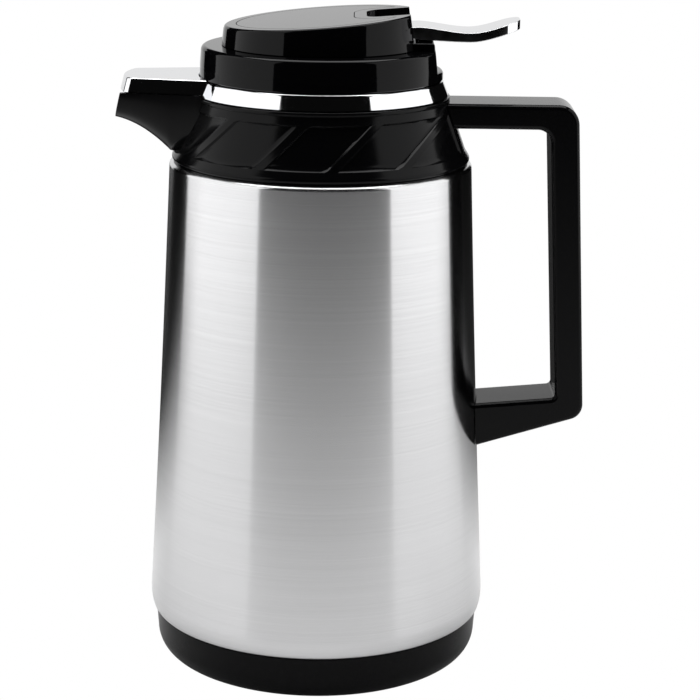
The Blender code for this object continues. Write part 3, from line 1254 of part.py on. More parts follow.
def make_stopper(black):
    """Threaded plug with pouring windows, valve port, stem guide and fixing flange."""
    radius = STOPPER_RADIUS
    bore = radius - STOPPER_WALL
    guide_top = GUIDE_HEIGHT + GUIDE_THICKNESS
    stem_bore = STEM_RADIUS + SEAT_GAP
    outline = [
        (PORT_RADIUS, STOPPER_BOTTOM),
        (radius, STOPPER_BOTTOM),
        (radius, STOPPER_TOP - STOPPER_FLANGE_THICKNESS),
        (STOPPER_FLANGE_RADIUS, STOPPER_TOP - STOPPER_FLANGE_THICKNESS),
        (STOPPER_FLANGE_RADIUS, STOPPER_TOP),
        (bore, STOPPER_TOP),
        (bore, guide_top),
        (stem_bore, guide_top),
        (stem_bore, GUIDE_HEIGHT),
        (bore, GUIDE_HEIGHT),
        (bore, SEAT_HEIGHT),
        (PORT_RADIUS, SEAT_HEIGHT),
    ]
    stopper = turned("stopper_body", outline, black, MEDIUM_FACETS)
    for number in range(WINDOW_COUNT):
        angle = 2 * math.pi * (number + 0.5) / WINDOW_COUNT
        out = Vector((math.cos(angle), math.sin(angle), 0))
        along = Vector((-math.sin(angle), math.cos(angle), 0)) * WINDOW_HALF_WIDTH
        sections = []
        for reach in (bore - STOPPER_WALL, radius + STOPPER_WALL):
            base = out * reach
            low = Vector((0, 0, WINDOW_BOTTOM))
            high = Vector((0, 0, WINDOW_TOP))
            sections.append([base + low - along, base + low + along, base + high + along, base + high - along])
        cut(stopper, lofted("stopper_window_%d" % (number + 1), sections))
    for number, (x, y) in enumerate(LID_SCREW_PLACES, 1):
        hole = rod(
            "flange_hole_%d" % number, (x, y, STOPPER_TOP - STOPPER_FLANGE_THICKNESS - 0.002),
            (x, y, STOPPER_TOP + 0.001), LID_SCREW_RADIUS + SEAT_GAP,
        )
        cut(stopper, hole)
    return stopper


def make_stopper_gasket(rubber):
    """Silicone ring under the stopper."""
    top = STOPPER_BOTTOM - SEAT_GAP
    outline = [
        (NECK_LEDGE_BORE, STOPPER_SEAL_BOTTOM),
        (STOPPER_RADIUS, STOPPER_SEAL_BOTTOM),
        (STOPPER_RADIUS, top),
        (NECK_LEDGE_BORE, top),
    ]
    return turned("stopper_gasket", outline, rubber, MEDIUM_FACETS)


def make_valve(black, rubber, steel):
    """Seal, disc with its hub, stem and cross pin, all lifted by the lever."""
    turned(
        "valve_seal",
        [(SEAL_BORE, SEAL_BOTTOM), (SEAL_RADIUS, SEAL_BOTTOM),
         (SEAL_RADIUS, SEAL_BOTTOM + SEAL_THICKNESS), (SEAL_BORE, SEAL_BOTTOM + SEAL_THICKNESS)],
        rubber, SMALL_FACETS,
    )
    boss = SEAL_BORE - SEAT_GAP
    stem_bore = STEM_RADIUS + SEAT_GAP
    hub_top = DISC_TOP + HUB_HEIGHT
    turned(
        "valve_disc",
        [
            (0, SEAL_BOTTOM + SEAT_GAP),
            (boss, SEAL_BOTTOM + SEAT_GAP),
            (boss, DISC_BOTTOM),
            (SEAL_RADIUS, DISC_BOTTOM),
            (SEAL_RADIUS, DISC_TOP),
            (DISC_HUB_RADIUS, DISC_TOP),
            (DISC_HUB_RADIUS, hub_top),
            (stem_bore, hub_top),
            (stem_bore, DISC_BOTTOM + SEAT_GAP),
            (0, DISC_BOTTOM + SEAT_GAP),
        ],
        black, SMALL_FACETS,
    )
    stem_top = STEM_PIN_Z + STEM_PIN_RADIUS + SEAT_GAP + STEM_RADIUS / 2
    stem = rod("valve_stem", (0, 0, DISC_BOTTOM + 2 * SEAT_GAP), (0, 0, stem_top), STEM_RADIUS, steel)
    pin_hole = rod(
        "stem_pin_hole", (0, -STEM_RADIUS - 0.002, STEM_PIN_Z), (0, STEM_RADIUS + 0.002, STEM_PIN_Z),
        STEM_PIN_RADIUS + SEAT_GAP / 2,
    )
    cut(stem, pin_hole)
    rod(
        "stem_pin", (0, -ARM_HALF_WIDTH, STEM_PIN_Z), (0, ARM_HALF_WIDTH, STEM_PIN_Z),
        STEM_PIN_RADIUS, steel,
    )


def make_spring(steel):
    """Compression spring between the valve disc and the stem guide."""
    low = DISC_TOP + SEAT_GAP + SPRING_WIRE
    high = GUIDE_HEIGHT - SEAT_GAP - SPRING_WIRE
    count = SPRING_TURNS * SPRING_STEPS
    sections = []
    for step in range(count + 1):
        share = step / count
        angle = 2 * math.pi * SPRING_TURNS * share
        out = Vector((math.cos(angle), math.sin(angle), 0))
        centre = out * SPRING_RADIUS + Vector((0, 0, low + (high - low) * share))
        ring = []
        for side in range(SPRING_SIDES):
            turn = 2 * math.pi * side / SPRING_SIDES
            ring.append(centre + SPRING_WIRE * (out * math.cos(turn) + Vector((0, 0, math.sin(turn)))))
        sections.append(ring)
    return lofted("return_spring", sections, steel, 60.0)


def make_lid_screws(steel):
    """Four screws that hold the stopper and the lower tier to the cap."""
    for number, (x, y) in enumerate(LID_SCREW_PLACES, 1):
        seat = (x, y, STOPPER_TOP - STOPPER_FLANGE_THICKNESS - SEAT_GAP)
        tip = cap_plane(x, CAP_ROOF) - 4 * SEAT_GAP
        make_screw(
            "lid_screw_%d" % number, seat, (0, 0, 1),
            (LID_SCREW_HEAD_RADIUS, LID_SCREW_HEAD_HEIGHT),
            (LID_SCREW_RADIUS, tip - seat[2]), steel,
        )


def main():
    clear_scene()
    brushed = finish("brushed_steel", "B4B5B6", 0.32, 1.0)
    chrome = finish("chrome_plate", "E4E6E8", 0.05, 1.0)
    black = finish("gloss_black_abs", "0B0B0C", 0.12)
    dull_black = finish("black_polypropylene", "151516", 0.45)
    rubber = finish("black_silicone", "1C1C1D", 0.6)
    glass = finish("silvered_glass", "D8DCDF", 0.06, 0.9)
    screw_steel = finish("zinc_plated_steel", "A9ADB0", 0.35, 1.0)
    make_steel_shell(brushed)
    make_base(black)
    make_base_plug(dull_black)
    make_cushion(rubber)
    make_glass(glass)
    make_neck_gasket(rubber)
    make_neck_insert(dull_black)
    make_shoulder(black)
    make_chrome_trim(chrome)
    make_handle(black)
    make_handle_fixings(screw_steel)
    make_lid_collar(black)
    make_lid_cap(black)
    slanted_plate("lid_inlay", inlay_plan(0.0), 0.0, INLAY_THICKNESS, black)
    make_lever(chrome)
    rod(
        "lever_pin", (PIVOT_X, -LEVER_PIN_HALF_LENGTH, PIVOT_Z),
        (PIVOT_X, LEVER_PIN_HALF_LENGTH, PIVOT_Z), LEVER_PIN_RADIUS, screw_steel,
    )
    make_stopper(dull_black)
    make_stopper_gasket(rubber)
    make_valve(dull_black, rubber, screw_steel)
    make_spring(screw_steel)
    make_lid_screws(screw_steel)


main()
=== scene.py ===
"""Looks of the lever-lid vacuum jug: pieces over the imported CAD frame, materials, light and camera."""

import json
import math

import bmesh
import bpy
from mathutils import Matrix, Vector


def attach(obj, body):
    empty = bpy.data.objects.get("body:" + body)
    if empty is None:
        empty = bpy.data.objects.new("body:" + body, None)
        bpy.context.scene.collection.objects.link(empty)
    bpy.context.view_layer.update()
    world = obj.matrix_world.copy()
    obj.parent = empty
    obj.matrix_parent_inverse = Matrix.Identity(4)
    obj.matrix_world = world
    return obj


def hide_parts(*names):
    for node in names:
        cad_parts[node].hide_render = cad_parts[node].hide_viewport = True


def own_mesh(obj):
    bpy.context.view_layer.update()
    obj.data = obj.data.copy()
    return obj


MM = 0.001

# Camera, from the photograph
CAMERA_PLACE = (0.0133, -0.9, 0.3753)
CAMERA_PITCH = math.radians(15.147)
CAMERA_ROLL = math.radians(0.80)
CAMERA_FOCAL_PIXELS = 2188.0
PICTURE_PIXELS = 700.0
SENSOR_WIDTH = 36.0

# Steel shell, mm: points are radius and height
SHELL_TOP = (63.05, 206.0)
SHELL_MIDDLE = (67.2, 115.0)
SHELL_FOOT = (71.9, 27.0)
SHELL_EDGE = (70.2, 19.6)
SHELL_LIP = 1.85
SHELL_RIM = 213.75
SHELL_WALL = 0.8

# Base cap, mm
BASE_FOOT_RADIUS = 61.4
BASE_SIDE_RADIUS = 69.05
BASE_ROUND_HEIGHT = 9.2
BASE_TOP_RADIUS = 69.75
BASE_TOP = 19.3
BASE_HOLLOW_RADIUS = 59.0
BASE_FLOOR = 5.5
BASE_WALL = 2.5
SPIGOT_RADIUS = 69.1
SPIGOT_TOP = 28.3
SPIGOT_ROOT = 11.7
TOWER_RADIUS = 34.0
TOWER_WALL = 3.0
TOWER_TOP = 19.7
PLUG_HOLE_RADIUS = 24.0

# Shoulder, mm: points are radius and height, the bead has its own radius too
CONE_FOOT = (59.9, 219.0)
CONE_TOP = (52.7, 239.4)
SHOULDER_TOP = 241.4
FLANGE_RADIUS = 53.1
BEAD = (60.0, 215.75, 1.7)
PANEL_DEPTH = 0.85
PANEL_SLOPE = 0.9
PANEL_BOTTOM = 219.6
PANEL_TOP = 236.1
PANEL_WIDTH = 24.3
PANEL_PITCH = 28.93
PANEL_RIGHT = 2.8
PANEL_LEAN = 1.02
PANEL_MIDDLE_COLUMNS = 14
SHOULDER_WALL = 2.4
PAD_HALF_WIDTH = 15.0
SKIRT_RADIUS = 60.9
SKIRT_BORE = 58.45
SKIRT_FOOT = 205.25
SKIRT_LEDGE = 219.3
UPSTAND_RADIUS = 47.2
UPSTAND_BORE = 45.8
UPSTAND_TOP = 246.4
UPSTAND_EDGE = 0.3

# Spout, its cover and the ring, mm
SPOUT_TIP_X = -82.0
SPOUT_TAPER_X = -49.5
SPOUT_ROOT_X = -46.0
CHANNEL_END_X = -41.0
SPOUT_RIM = 242.6
SPOUT_TIP_HALF = 15.6
SPOUT_ROOT_HALF = 21.6
SPOUT_TIP_BOW = 0.3
SPOUT_TIP_SLANT = 0.23
SPOUT_ROUNDNESS = 2.6
SPOUT_WALL = 2.4
SPOUT_LIP = 4.5
KEEL_TIP_HEIGHT = 231.2
KEEL_BEND_HEIGHT = 228.9
KEEL_ROOT = (-61.1, 217.2)
COVER_TOP = 248.8
COVER_FOOT = 242.9
COVER_WALL = 1.2
COVER_ROOT_X = -43.0
COVER_ROOT_HALF = 21.3
COVER_TIP_HALF = 14.9
COVER_FRONT_X = -81.2
COVER_FRONT_SLANT = 1.5
COVER_BOW = 2.9
COVER_CORNER = 3.0
COVER_DRAFT = 0.7
COVER_EDGE = 0.5
COVER_FOOT_EDGE = 0.15
COVER_LOW_BORE = 48.7
COVER_HIGH_BORE = 50.6
COVER_BORE_STEP = 247.8
RING_BORE = 47.5
RING_FOOT = 52.4
RING_TOP = 50.4
RING_LOW = 241.7
RING_HIGH = 248.1
RING_EDGE = 1.2
RING_FOOT_EDGE = 0.3
NOTCH_ANGLE = 148.7
NOTCH_DEPTH = 3.2
NOTCH_HALF_WIDTH = 2.6

# Handle, mm: a screw room is radius, length and middle height; the tongue room ends, heights, half width
HANDLE_HALF_WIDTH = 13.0
HANDLE_TOP = 239.5
ARM_HEIGHT = 10.3
GRIP_THICKNESS = 11.8
GRIP_TOP_X = 105.6
GRIP_LEAN = 0.050
OUTER_CORNER = 8.5
INNER_CORNER = 5.5
LOWER_ARM_X = 66.05
LOWER_ARM_TOP = 112.0
LOWER_ARM_TOP_SLOPE = 0.09
LOWER_ARM_BOTTOM = 93.2
LOWER_ARM_BOTTOM_SLOPE = 0.304
LOWER_CORNER = 6.5
HANDLE_EDGE = 2.4
HANDLE_GAP = 0.3
TONGUE_ROOM = ((48.7, 69.7), (232.9, 236.9), 8.3)
UPPER_SCREW_X = 61.5
UPPER_SCREW_HEAD_ROOM = (3.5, 5.0, 229.1)
UPPER_SCREW_ROOM = (1.9, 6.0, 232.0)
LOWER_SCREW_PLACE = (68.0, 0, 103.0)
LOWER_SCREW_ROOM = (2.3, 30.0)

# Lid, mm: radii go from foot to top; the screw room is as in the handle
TIER_FOOT = 248.4
TIER_MIDDLE = 254.0
TIER_TOP = 261.3
TIER_RADII = (50.1, 50.0, 49.6)
TIER_EDGE = 1.9
TIER_WALL = 2.2
TIER_BORE = 12.0
REAR_LEDGE = 252.0
REAR_LEDGE_EDGE = 1.6
REAR_FLAT_X = 46.2
REAR_FLAT_LEAN = 0.11
PLATFORM_TOP = 264.5
PLATFORM_HALF_WIDTH = 17.2
PLATFORM_EDGE = 1.0
CAP_RADII = (41.1, 40.4, 40.2)
CAP_FOOT = 261.6
CAP_MIDDLE = 268.0
CAP_TOP = 272.75
CAP_SLOPE = 0.0835
CAP_EDGE = 1.1
CAP_FLAT_X = 37.9
CAP_FLAT_LEAN = 0.14
CAP_WALL_X = 34.1
SLOT_HALF_WIDTH = 13.2
SLOT_END_X = 18.2
SLOT_CORNER = 6.0
SLOT_FLOOR = 262.6
WINDOW_ENDS = (-9.0, 24.2)
WINDOW_TOPS = (269.0, 269.5)
WINDOW_HALF_WIDTH = 7.2
INLAY_RADIUS = 35.0
INLAY_BORDER = 5.2
INLAY_THICKNESS = 1.1
LID_GAP = 0.3
LID_SCREWS = ((18.0, 23.5), (-21.0, 20.5), (-21.0, -20.5), (18.0, -23.5))
LID_SCREW_ROOM = (1.9, 9.0, 263.5)

# Thumb lever, mm: distance out, top and underside at four places, then its slopes and roundings
LEVER_HALF_WIDTH = 12.0
LEVER_INNER = (20.5, 269.6, 266.4)
LEVER_FLAT = (40.0, 270.5, 265.4)
LEVER_LOW = (60.2, 268.3, 264.6)
LEVER_TIP = (80.9, 273.3, 269.6)
LEVER_FLAT_SLOPE = -0.05
LEVER_TIP_SLOPE = 0.22
LEVER_TIP_ROUND = 9.0
LEVER_INNER_ROUND = 5.0
LEVER_EDGE = 0.9

# Inner arm of the lever, mm: distance out, then top or underside or both
ARM_MEET = (33.3, 267.2)
ARM_ROOT = (30.0, 268.4, 264.8)
ARM_STEP = (8.5, 262.0)
FORK_END = (-3.5, 263.4, 258.3)
ARM_HALF_WIDTH = 6.2
FORK_GAP_HALF_WIDTH = 3.0
FORK_GAP_END_X = 3.2
PIN_MOUTH_END_X = 2.0
PIN_MOUTH_HEIGHTS = (259.2, 261.8)

# Pivot of the lever, its ears and its pocket, mm
PIVOT = (43.0, 267.3)
PIVOT_HOLE_RADIUS = 1.3
EAR_RADIUS = 1.7
EAR_NEAR = 5.0
EAR_FAR = 7.5
EAR_FOOT = 263.7
EAR_HOLE_RADIUS = 1.15
POCKET_HALF_LENGTH = 4.6
POCKET_HALF_WIDTH = 8.3
POCKET_TOP = 269.4

# Return spring and the valve that shortens it, mm
SPRING_RADIUS = 7.0
SPRING_WIRE = 0.7
SPRING_LOW = 210.2
SPRING_HIGH = 243.0
SPRING_TURNS = 7

# Softboxes: place, target and size in metres, power in watts
LEFT_SOFTBOX = ((-0.85, -0.26, 0.45), (0, -0.26, 0.30), (1.35, 1.3), 7.6)
RIGHT_SOFTBOX = ((0.85, -0.10, 0.45), (0, -0.10, 0.30), (1.18, 1.3), 6.7)
TOP_SOFTBOX = ((0.0, 0.12, 0.95), (0, 0.12, 0.0), (0.9, 0.6), 8.0)
ROOM_LEVEL = 0.003

# Backdrop and floor, metres
BACKDROP_PLACE = (-0.325, 1.7, 0.4)
BACKDROP_SIZE = (1.75, 0.8, 1.0)
BACKDROP_MIRRORED = 0.86
FLOOR_SIZE = 6.0
FLOOR_DROP = 0.0002
TABLE_BACK = (0.10, 0.36)
TABLE_FRONT = (-2.2, -1.4)

# Sides of a turned piece, and the turns that lay a hole level
ROUND = 192
LEVEL_ACROSS = (math.pi / 2, 0, 0)
LEVEL_OUT = (0, math.pi / 2, 0)


def linear(channel):
    value = channel / 255
    return value / 12.92 if value <= 0.04045 else ((value + 0.055) / 1.055) ** 2.4


def colour(code):
    """An sRGB hex colour as linear RGBA."""
    return (*[linear(int(code[i : i + 2], 16)) for i in (0, 2, 4)], 1.0)


def node(tree, kind, sockets=None, **settings):
    """Adds a node with its settings, values and links."""
    made = tree.nodes.new(kind)
    for key, value in settings.items():
        setattr(made, key, value)
    for name, value in (sockets or {}).items():
        if isinstance(value, bpy.types.NodeSocket):
            tree.links.new(value, made.inputs[name])
        else:
            made.inputs[name].default_value = value
    return made


def new_material(name):
    made = bpy.data.materials.new(name)
    made.use_nodes = True
    return made, made.node_tree, made.node_tree.nodes["Principled BSDF"]


def own_place(tree):
    """Coordinates of the piece itself, in metres."""
    return node(tree, "ShaderNodeTexCoord").outputs["Object"]


def noise(tree, place, scale, detail):
    made = node(tree, "ShaderNodeTexNoise", {"Vector": place, "Scale": scale, "Detail": detail})
    return made.outputs["Fac"]


def stretched_noise(tree, place, scales, detail, turned=(0, 0, 0)):
    """Noise with its own scale along each axis, turned by three angles in radians."""
    mapped = node(tree, "ShaderNodeMapping", {"Vector": place, "Scale": scales, "Rotation": turned})
    return noise(tree, mapped.outputs[0], 1.0, detail)


def map_range(tree, value, start, end, first, last):
    """Goes from first to last as the value goes from start to end."""
    limits = {"Value": value, "From Min": start, "From Max": end, "To Min": first, "To Max": last}
    return node(tree, "ShaderNodeMapRange", limits).outputs["Result"]


def vary_roughness(tree, shader, value, start, end, least, most):
    tree.links.new(map_range(tree, value, start, end, least, most), shader.inputs["Roughness"])


def vary_colour(tree, shader, value, start, end, first, last):
    """Base colour from one hex colour to another as the value goes from start to end."""
    ramp = node(tree, "ShaderNodeValToRGB", {"Fac": value})
    for stop, position, code in zip(ramp.color_ramp.elements, (start, end), (first, last)):
        stop.position = position
        stop.color = colour(code)
    tree.links.new(ramp.outputs["Color"], shader.inputs["Base Color"])


def add_relief(tree, shader, height, strength, distance):
    """Bump whose distance is in metres."""
    bump = node(tree, "ShaderNodeBump", {"Height": height, "Strength": strength, "Distance": distance})
    tree.links.new(bump.outputs["Normal"], shader.inputs["Normal"])


def set_values(shader, values):
    for name, value in values.items():
        shader.inputs[name].default_value = value


def brushed_stainless():
    """304 stainless, belt-brushed round the body: fine level lines that smear lights up and down."""
    made, tree, shader = new_material("stainless_brushed_round")
    place = own_place(tree)
    lines = stretched_noise(tree, place, (9, 9, 5200), 3.0)
    bands = stretched_noise(tree, place, (5, 5, 900), 2.0)
    vary_colour(tree, shader, lines, 0.32, 0.68, "D0D0D1", "D9D9DA")
    vary_roughness(tree, shader, bands, 0.3, 0.7, 0.185, 0.195)
    add_relief(tree, shader, lines, 0.05, 0.00002)
    set_values(shader, {"Metallic": 1.0, "Anisotropic": 0.97, "Anisotropic Rotation": 0.25})
    tangent = node(tree, "ShaderNodeTangent", direction_type="RADIAL", axis="Z")
    tree.links.new(tangent.outputs["Tangent"], shader.inputs["Tangent"])
    return made


def chrome_plate():
    """Bright nickel-chrome over ABS: near-mirror, with the faint flow of the moulding under it."""
    made, tree, shader = new_material("abs_chrome_plated")
    place = own_place(tree)
    vary_roughness(tree, shader, noise(tree, place, 350.0, 3.0), 0.3, 0.8, 0.035, 0.075)
    add_relief(tree, shader, noise(tree, place, 60.0, 1.0), 0.08, 0.0002)
    set_values(shader, {"Base Color": colour("E6E7E9"), "Metallic": 1.0})
    return made


def gloss_black():
    """Black ABS from a polished mould: deep gloss, slight waviness, faint hairlines from wiping."""
    made, tree, shader = new_material("abs_black_polished")
    place = own_place(tree)
    wipe = stretched_noise(tree, place, (900, 160, 900), 3.0, (0.2, 0.3, 0.5))
    vary_roughness(tree, shader, wipe, 0.45, 0.8, 0.05, 0.09)
    add_relief(tree, shader, noise(tree, place, 28.0, 0.0), 0.03, 0.0003)
    set_values(shader, {"Base Color": colour("050506"), "IOR": 1.46, "Specular IOR Level": 0.15})
    return made


def satin_black(name, least, most, level):
    """Black polypropylene with a fine satin: it blurs what it mirrors into a soft sheen."""
    made, tree, shader = new_material(name)
    grain = noise(tree, own_place(tree), 3200.0, 2.0)
    vary_roughness(tree, shader, grain, 0.3, 0.7, least, most)
    add_relief(tree, shader, grain, 0.08, 0.00005)
    set_values(shader, {"Base Color": colour("060607"), "IOR": 1.46, "Specular IOR Level": level})
    return made


def dull_black():
    """Black polypropylene from a spark-eroded mould: fine even grain about 0.2 mm across."""
    made, tree, shader = new_material("polypropylene_black_grained")
    grain = noise(tree, own_place(tree), 4200.0, 2.0)
    vary_roughness(tree, shader, grain, 0.3, 0.7, 0.38, 0.52)
    add_relief(tree, shader, grain, 0.25, 0.00008)
    set_values(shader, {"Base Color": colour("17171A"), "IOR": 1.49})
    return made


def silicone():
    """Moulded black silicone: soft satin with specks of dust."""
    made, tree, shader = new_material("silicone_black_moulded")
    dust = noise(tree, own_place(tree), 1500.0, 3.0)
    vary_colour(tree, shader, dust, 0.55, 0.85, "1D1D1F", "3A3A3C")
    add_relief(tree, shader, dust, 0.2, 0.0001)
    set_values(shader, {"Roughness": 0.55, "IOR": 1.43})
    return made


def silvered_glass():
    """Blown glass silvered on the vacuum side: a mirror under glass, faintly uneven from blowing."""
    made, tree, shader = new_material("glass_silvered_blown")
    blow = noise(tree, own_place(tree), 35.0, 2.0)
    vary_colour(tree, shader, blow, 0.0, 1.0, "C4C8CB", "E2E6E8")
    add_relief(tree, shader, blow, 0.2, 0.0006)
    set_values(shader, {"Metallic": 0.9, "Roughness": 0.08, "Coat Weight": 1.0, "Coat Roughness": 0.02})
    return made


def plated_steel():
    """Zinc-plated steel of screws, pins and spring: grey metal with a patchy satin."""
    made, tree, shader = new_material("steel_zinc_plated")
    patch = noise(tree, own_place(tree), 700.0, 3.0)
    vary_colour(tree, shader, patch, 0.0, 1.0, "A3A7AA", "C9CCCE")
    vary_roughness(tree, shader, patch, 0.3, 0.7, 0.24, 0.42)
    set_values(shader, {"Metallic": 1.0})
    return made


def deselect():
    if bpy.context.mode != "OBJECT":
        bpy.ops.object.mode_set(mode="OBJECT")
    bpy.ops.object.select_all(action="DESELECT")


def make_active(piece):
    deselect()
    piece.select_set(True)
    bpy.context.view_layer.objects.active = piece


def pick(piece, kind, test):
    """In edit mode, selects only the vertices, edges or faces that pass the test."""
    bpy.ops.mesh.select_mode(type=kind)
    bpy.ops.mesh.select_all(action="DESELECT")
    mesh = bmesh.from_edit_mesh(piece.data)
    for item in {"VERT": mesh.verts, "EDGE": mesh.edges, "FACE": mesh.faces}[kind]:
        item.select = bool(test(item))
    mesh.select_flush_mode()
    bmesh.update_edit_mesh(piece.data)


def start_circle(name, radius, height, sides=ROUND):
    """A ring of vertices at its radius and height, in mm, left in edit mode."""
    deselect()
    bpy.ops.mesh.primitive_circle_add(vertices=sides, radius=radius * MM, location=(0, 0, height * MM))
    piece = bpy.context.object
    piece.name = name
    bpy.ops.object.transform_apply()
    bpy.ops.object.mode_set(mode="EDIT")
    bpy.ops.mesh.select_mode(type="VERT")
    bpy.ops.mesh.select_all(action="SELECT")
    return piece


def pull_ring(from_point, to_point):
    """Extrudes the selected ring to a new radius and height."""
    bpy.ops.mesh.extrude_edges_move(
        TRANSFORM_OT_translate={"value": (0, 0, (to_point[1] - from_point[1]) * MM)}
    )
    change = to_point[0] / from_point[0]
    bpy.ops.transform.resize(value=(change, change, 1), center_override=(0, 0, 0))


def close_solid():
    """Turns the faces of the solid in edit mode outwards, and leaves edit mode."""
    bpy.ops.mesh.select_all(action="SELECT")
    bpy.ops.mesh.normals_make_consistent(inside=False)
    bpy.ops.object.mode_set(mode="OBJECT")


def turn(name, outline, sides=ROUND):
    """Turns a (radius, height) outline in mm into a closed solid, ring by ring."""
    piece = start_circle(name, *outline[0], sides)
    for before, after in zip(outline, outline[1:]):
        pull_ring(before, after)
    pick(piece, "EDGE", lambda edge: len(edge.link_faces) == 1)
    bpy.ops.mesh.bridge_edge_loops()
    close_solid()
    return piece


def turn_plug(name, outline):
    """As turn, but the first and last rings are filled with a face."""
    piece = start_circle(name, *outline[0])
    bpy.ops.mesh.edge_face_add()
    pick(piece, "EDGE", lambda edge: len(edge.link_faces) <= 1)
    for before, after in zip(outline, outline[1:]):
        pull_ring(before, after)
    bpy.ops.mesh.edge_face_add()
    close_solid()
    return piece


def arc(centre, radius, start, end, steps):
    """Points on an arc, or on a quarter ellipse when radius is a pair; angles in degrees."""
    across, up = radius if isinstance(radius, tuple) else (radius, radius)
    points = []
    for step in range(steps + 1):
        angle = math.radians(start + (end - start) * step / steps)
        points.append((centre[0] + across * math.cos(angle), centre[1] + up * math.sin(angle)))
    return points


def prism(name, outline, low, high, along="y"):
    """Closed outline drawn in a plane, extruded between two depths, in mm."""
    deselect()
    bpy.ops.mesh.primitive_circle_add(vertices=len(outline), radius=MM, location=(0, 0, 0))
    piece = bpy.context.object
    piece.name = name
    bpy.ops.object.mode_set(mode="EDIT")
    mesh = bmesh.from_edit_mesh(piece.data)
    mesh.verts.ensure_lookup_table()
    for vertex, (across, up) in zip(mesh.verts, outline):
        vertex.co = Vector((across, low, up) if along == "y" else (across, up, low)) * MM
    bmesh.update_edit_mesh(piece.data)
    bpy.ops.mesh.select_all(action="SELECT")
    bpy.ops.mesh.edge_face_add()
    depth = (high - low) * MM
    move = (0, depth, 0) if along == "y" else (0, 0, depth)
    bpy.ops.mesh.extrude_region_move(TRANSFORM_OT_translate={"value": move})
    close_solid()
    return piece


def block(name, ends, heights, half_width):
    """Box between two distances out and two heights, in mm, half on each side of the middle."""
    left, right = ends
    low, high = heights
    return prism(name, [(left, low), (right, low), (right, high), (left, high)], -half_width, half_width)


def into_triangles(piece):
    make_active(piece)
    bpy.ops.object.mode_set(mode="EDIT")
    bpy.ops.mesh.select_all(action="SELECT")
    bpy.ops.mesh.quads_convert_to_tris(quad_method="FIXED", ngon_method="BEAUTY")
    bpy.ops.object.mode_set(mode="OBJECT")


def apply_modifiers(piece):
    make_active(piece)
    for change in list(piece.modifiers):
        bpy.ops.object.modifier_apply(modifier=change.name)


def boolean(piece, other, operation):
    """Cuts or joins another solid and uses it up."""
    change = piece.modifiers.new("boolean", "BOOLEAN")
    change.operation = operation
    change.solver = "EXACT"
    change.object = other
    apply_modifiers(piece)
    bpy.data.objects.remove(other, do_unlink=True)


def cut(piece, *others):
    for other in others:
        boolean(piece, other, "DIFFERENCE")


def drill(piece, radius, length, place, turned=(0, 0, 0), sides=32):
    """Cuts a round hole with its middle at a place, in mm; it runs upwards unless turned."""
    deselect()
    bpy.ops.mesh.primitive_cylinder_add(
        vertices=sides, radius=radius * MM, depth=length * MM, rotation=turned,
        location=[distance * MM for distance in place],
    )
    cut(piece, bpy.context.object)


def soften(piece, width, segments, angle):
    """Rounds every edge sharper than the angle, width in mm."""
    change = piece.modifiers.new("soften", "BEVEL")
    change.width = width * MM
    change.segments = segments
    change.limit_method = "ANGLE"
    change.angle_limit = math.radians(angle)
    apply_modifiers(piece)


def smooth(piece, angle):
    """Smooth shading whose normals follow the large faces, so that roundings don't bend them."""
    make_active(piece)
    bpy.ops.object.shade_smooth_by_angle(angle=math.radians(angle))
    weigh = piece.modifiers.new("weigh", "WEIGHTED_NORMAL")
    weigh.keep_sharp = True
    weigh.weight = 90
    apply_modifiers(piece)


def dress(piece, material, body, slot, *replaced):
    """Gives a finished piece its material and its body, and hides the CAD nodes it replaces; the slot is
    not used.
    """
    piece.data.materials.clear()
    piece.data.materials.append(material)
    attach(piece, body)
    if replaced:
        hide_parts(*replaced)
    return piece


def shell_radius(height):
    """Outer radius of the steel: a smooth curve through three measured points."""
    total = 0.0
    points = (SHELL_TOP, SHELL_MIDDLE, SHELL_FOOT)
    for radius, own in points:
        share = radius
        for _, other in points:
            if other != own:
                share *= (height - other) / (own - other)
        total += share
    return total


def cone_radius(height):
    share = (height - CONE_FOOT[1]) / (CONE_TOP[1] - CONE_FOOT[1])
    return CONE_FOOT[0] + (CONE_TOP[0] - CONE_FOOT[0]) * share


def make_steel_shell():
    """Steel tube with a curl at the foot and a rolled lip at the mouth."""
    lip_start = SHELL_RIM - SHELL_LIP
    mouth = shell_radius(lip_start) - SHELL_LIP
    foot_radius, foot_height = SHELL_FOOT
    edge_radius, edge_height = SHELL_EDGE
    curl_size = (foot_radius - edge_radius, foot_height - edge_height)
    curl = arc((edge_radius, foot_height), curl_size, -90, 0, 10)
    levels = [foot_height + (lip_start - foot_height) * i / 16 for i in range(17)]
    outline = curl[:-1] + [(shell_radius(z), z) for z in levels]
    outline += arc((mouth, lip_start), SHELL_LIP, 0, 90, 8)[1:]
    outline += arc((mouth, lip_start), SHELL_LIP - SHELL_WALL, 90, 0, 4)
    outline += [(shell_radius(z) - SHELL_WALL, z) for z in reversed(levels[:-1])]
    outline.append((edge_radius - SHELL_WALL, edge_height))
    piece = turn("steel_body", outline)
    smooth(piece, 40)
    return piece


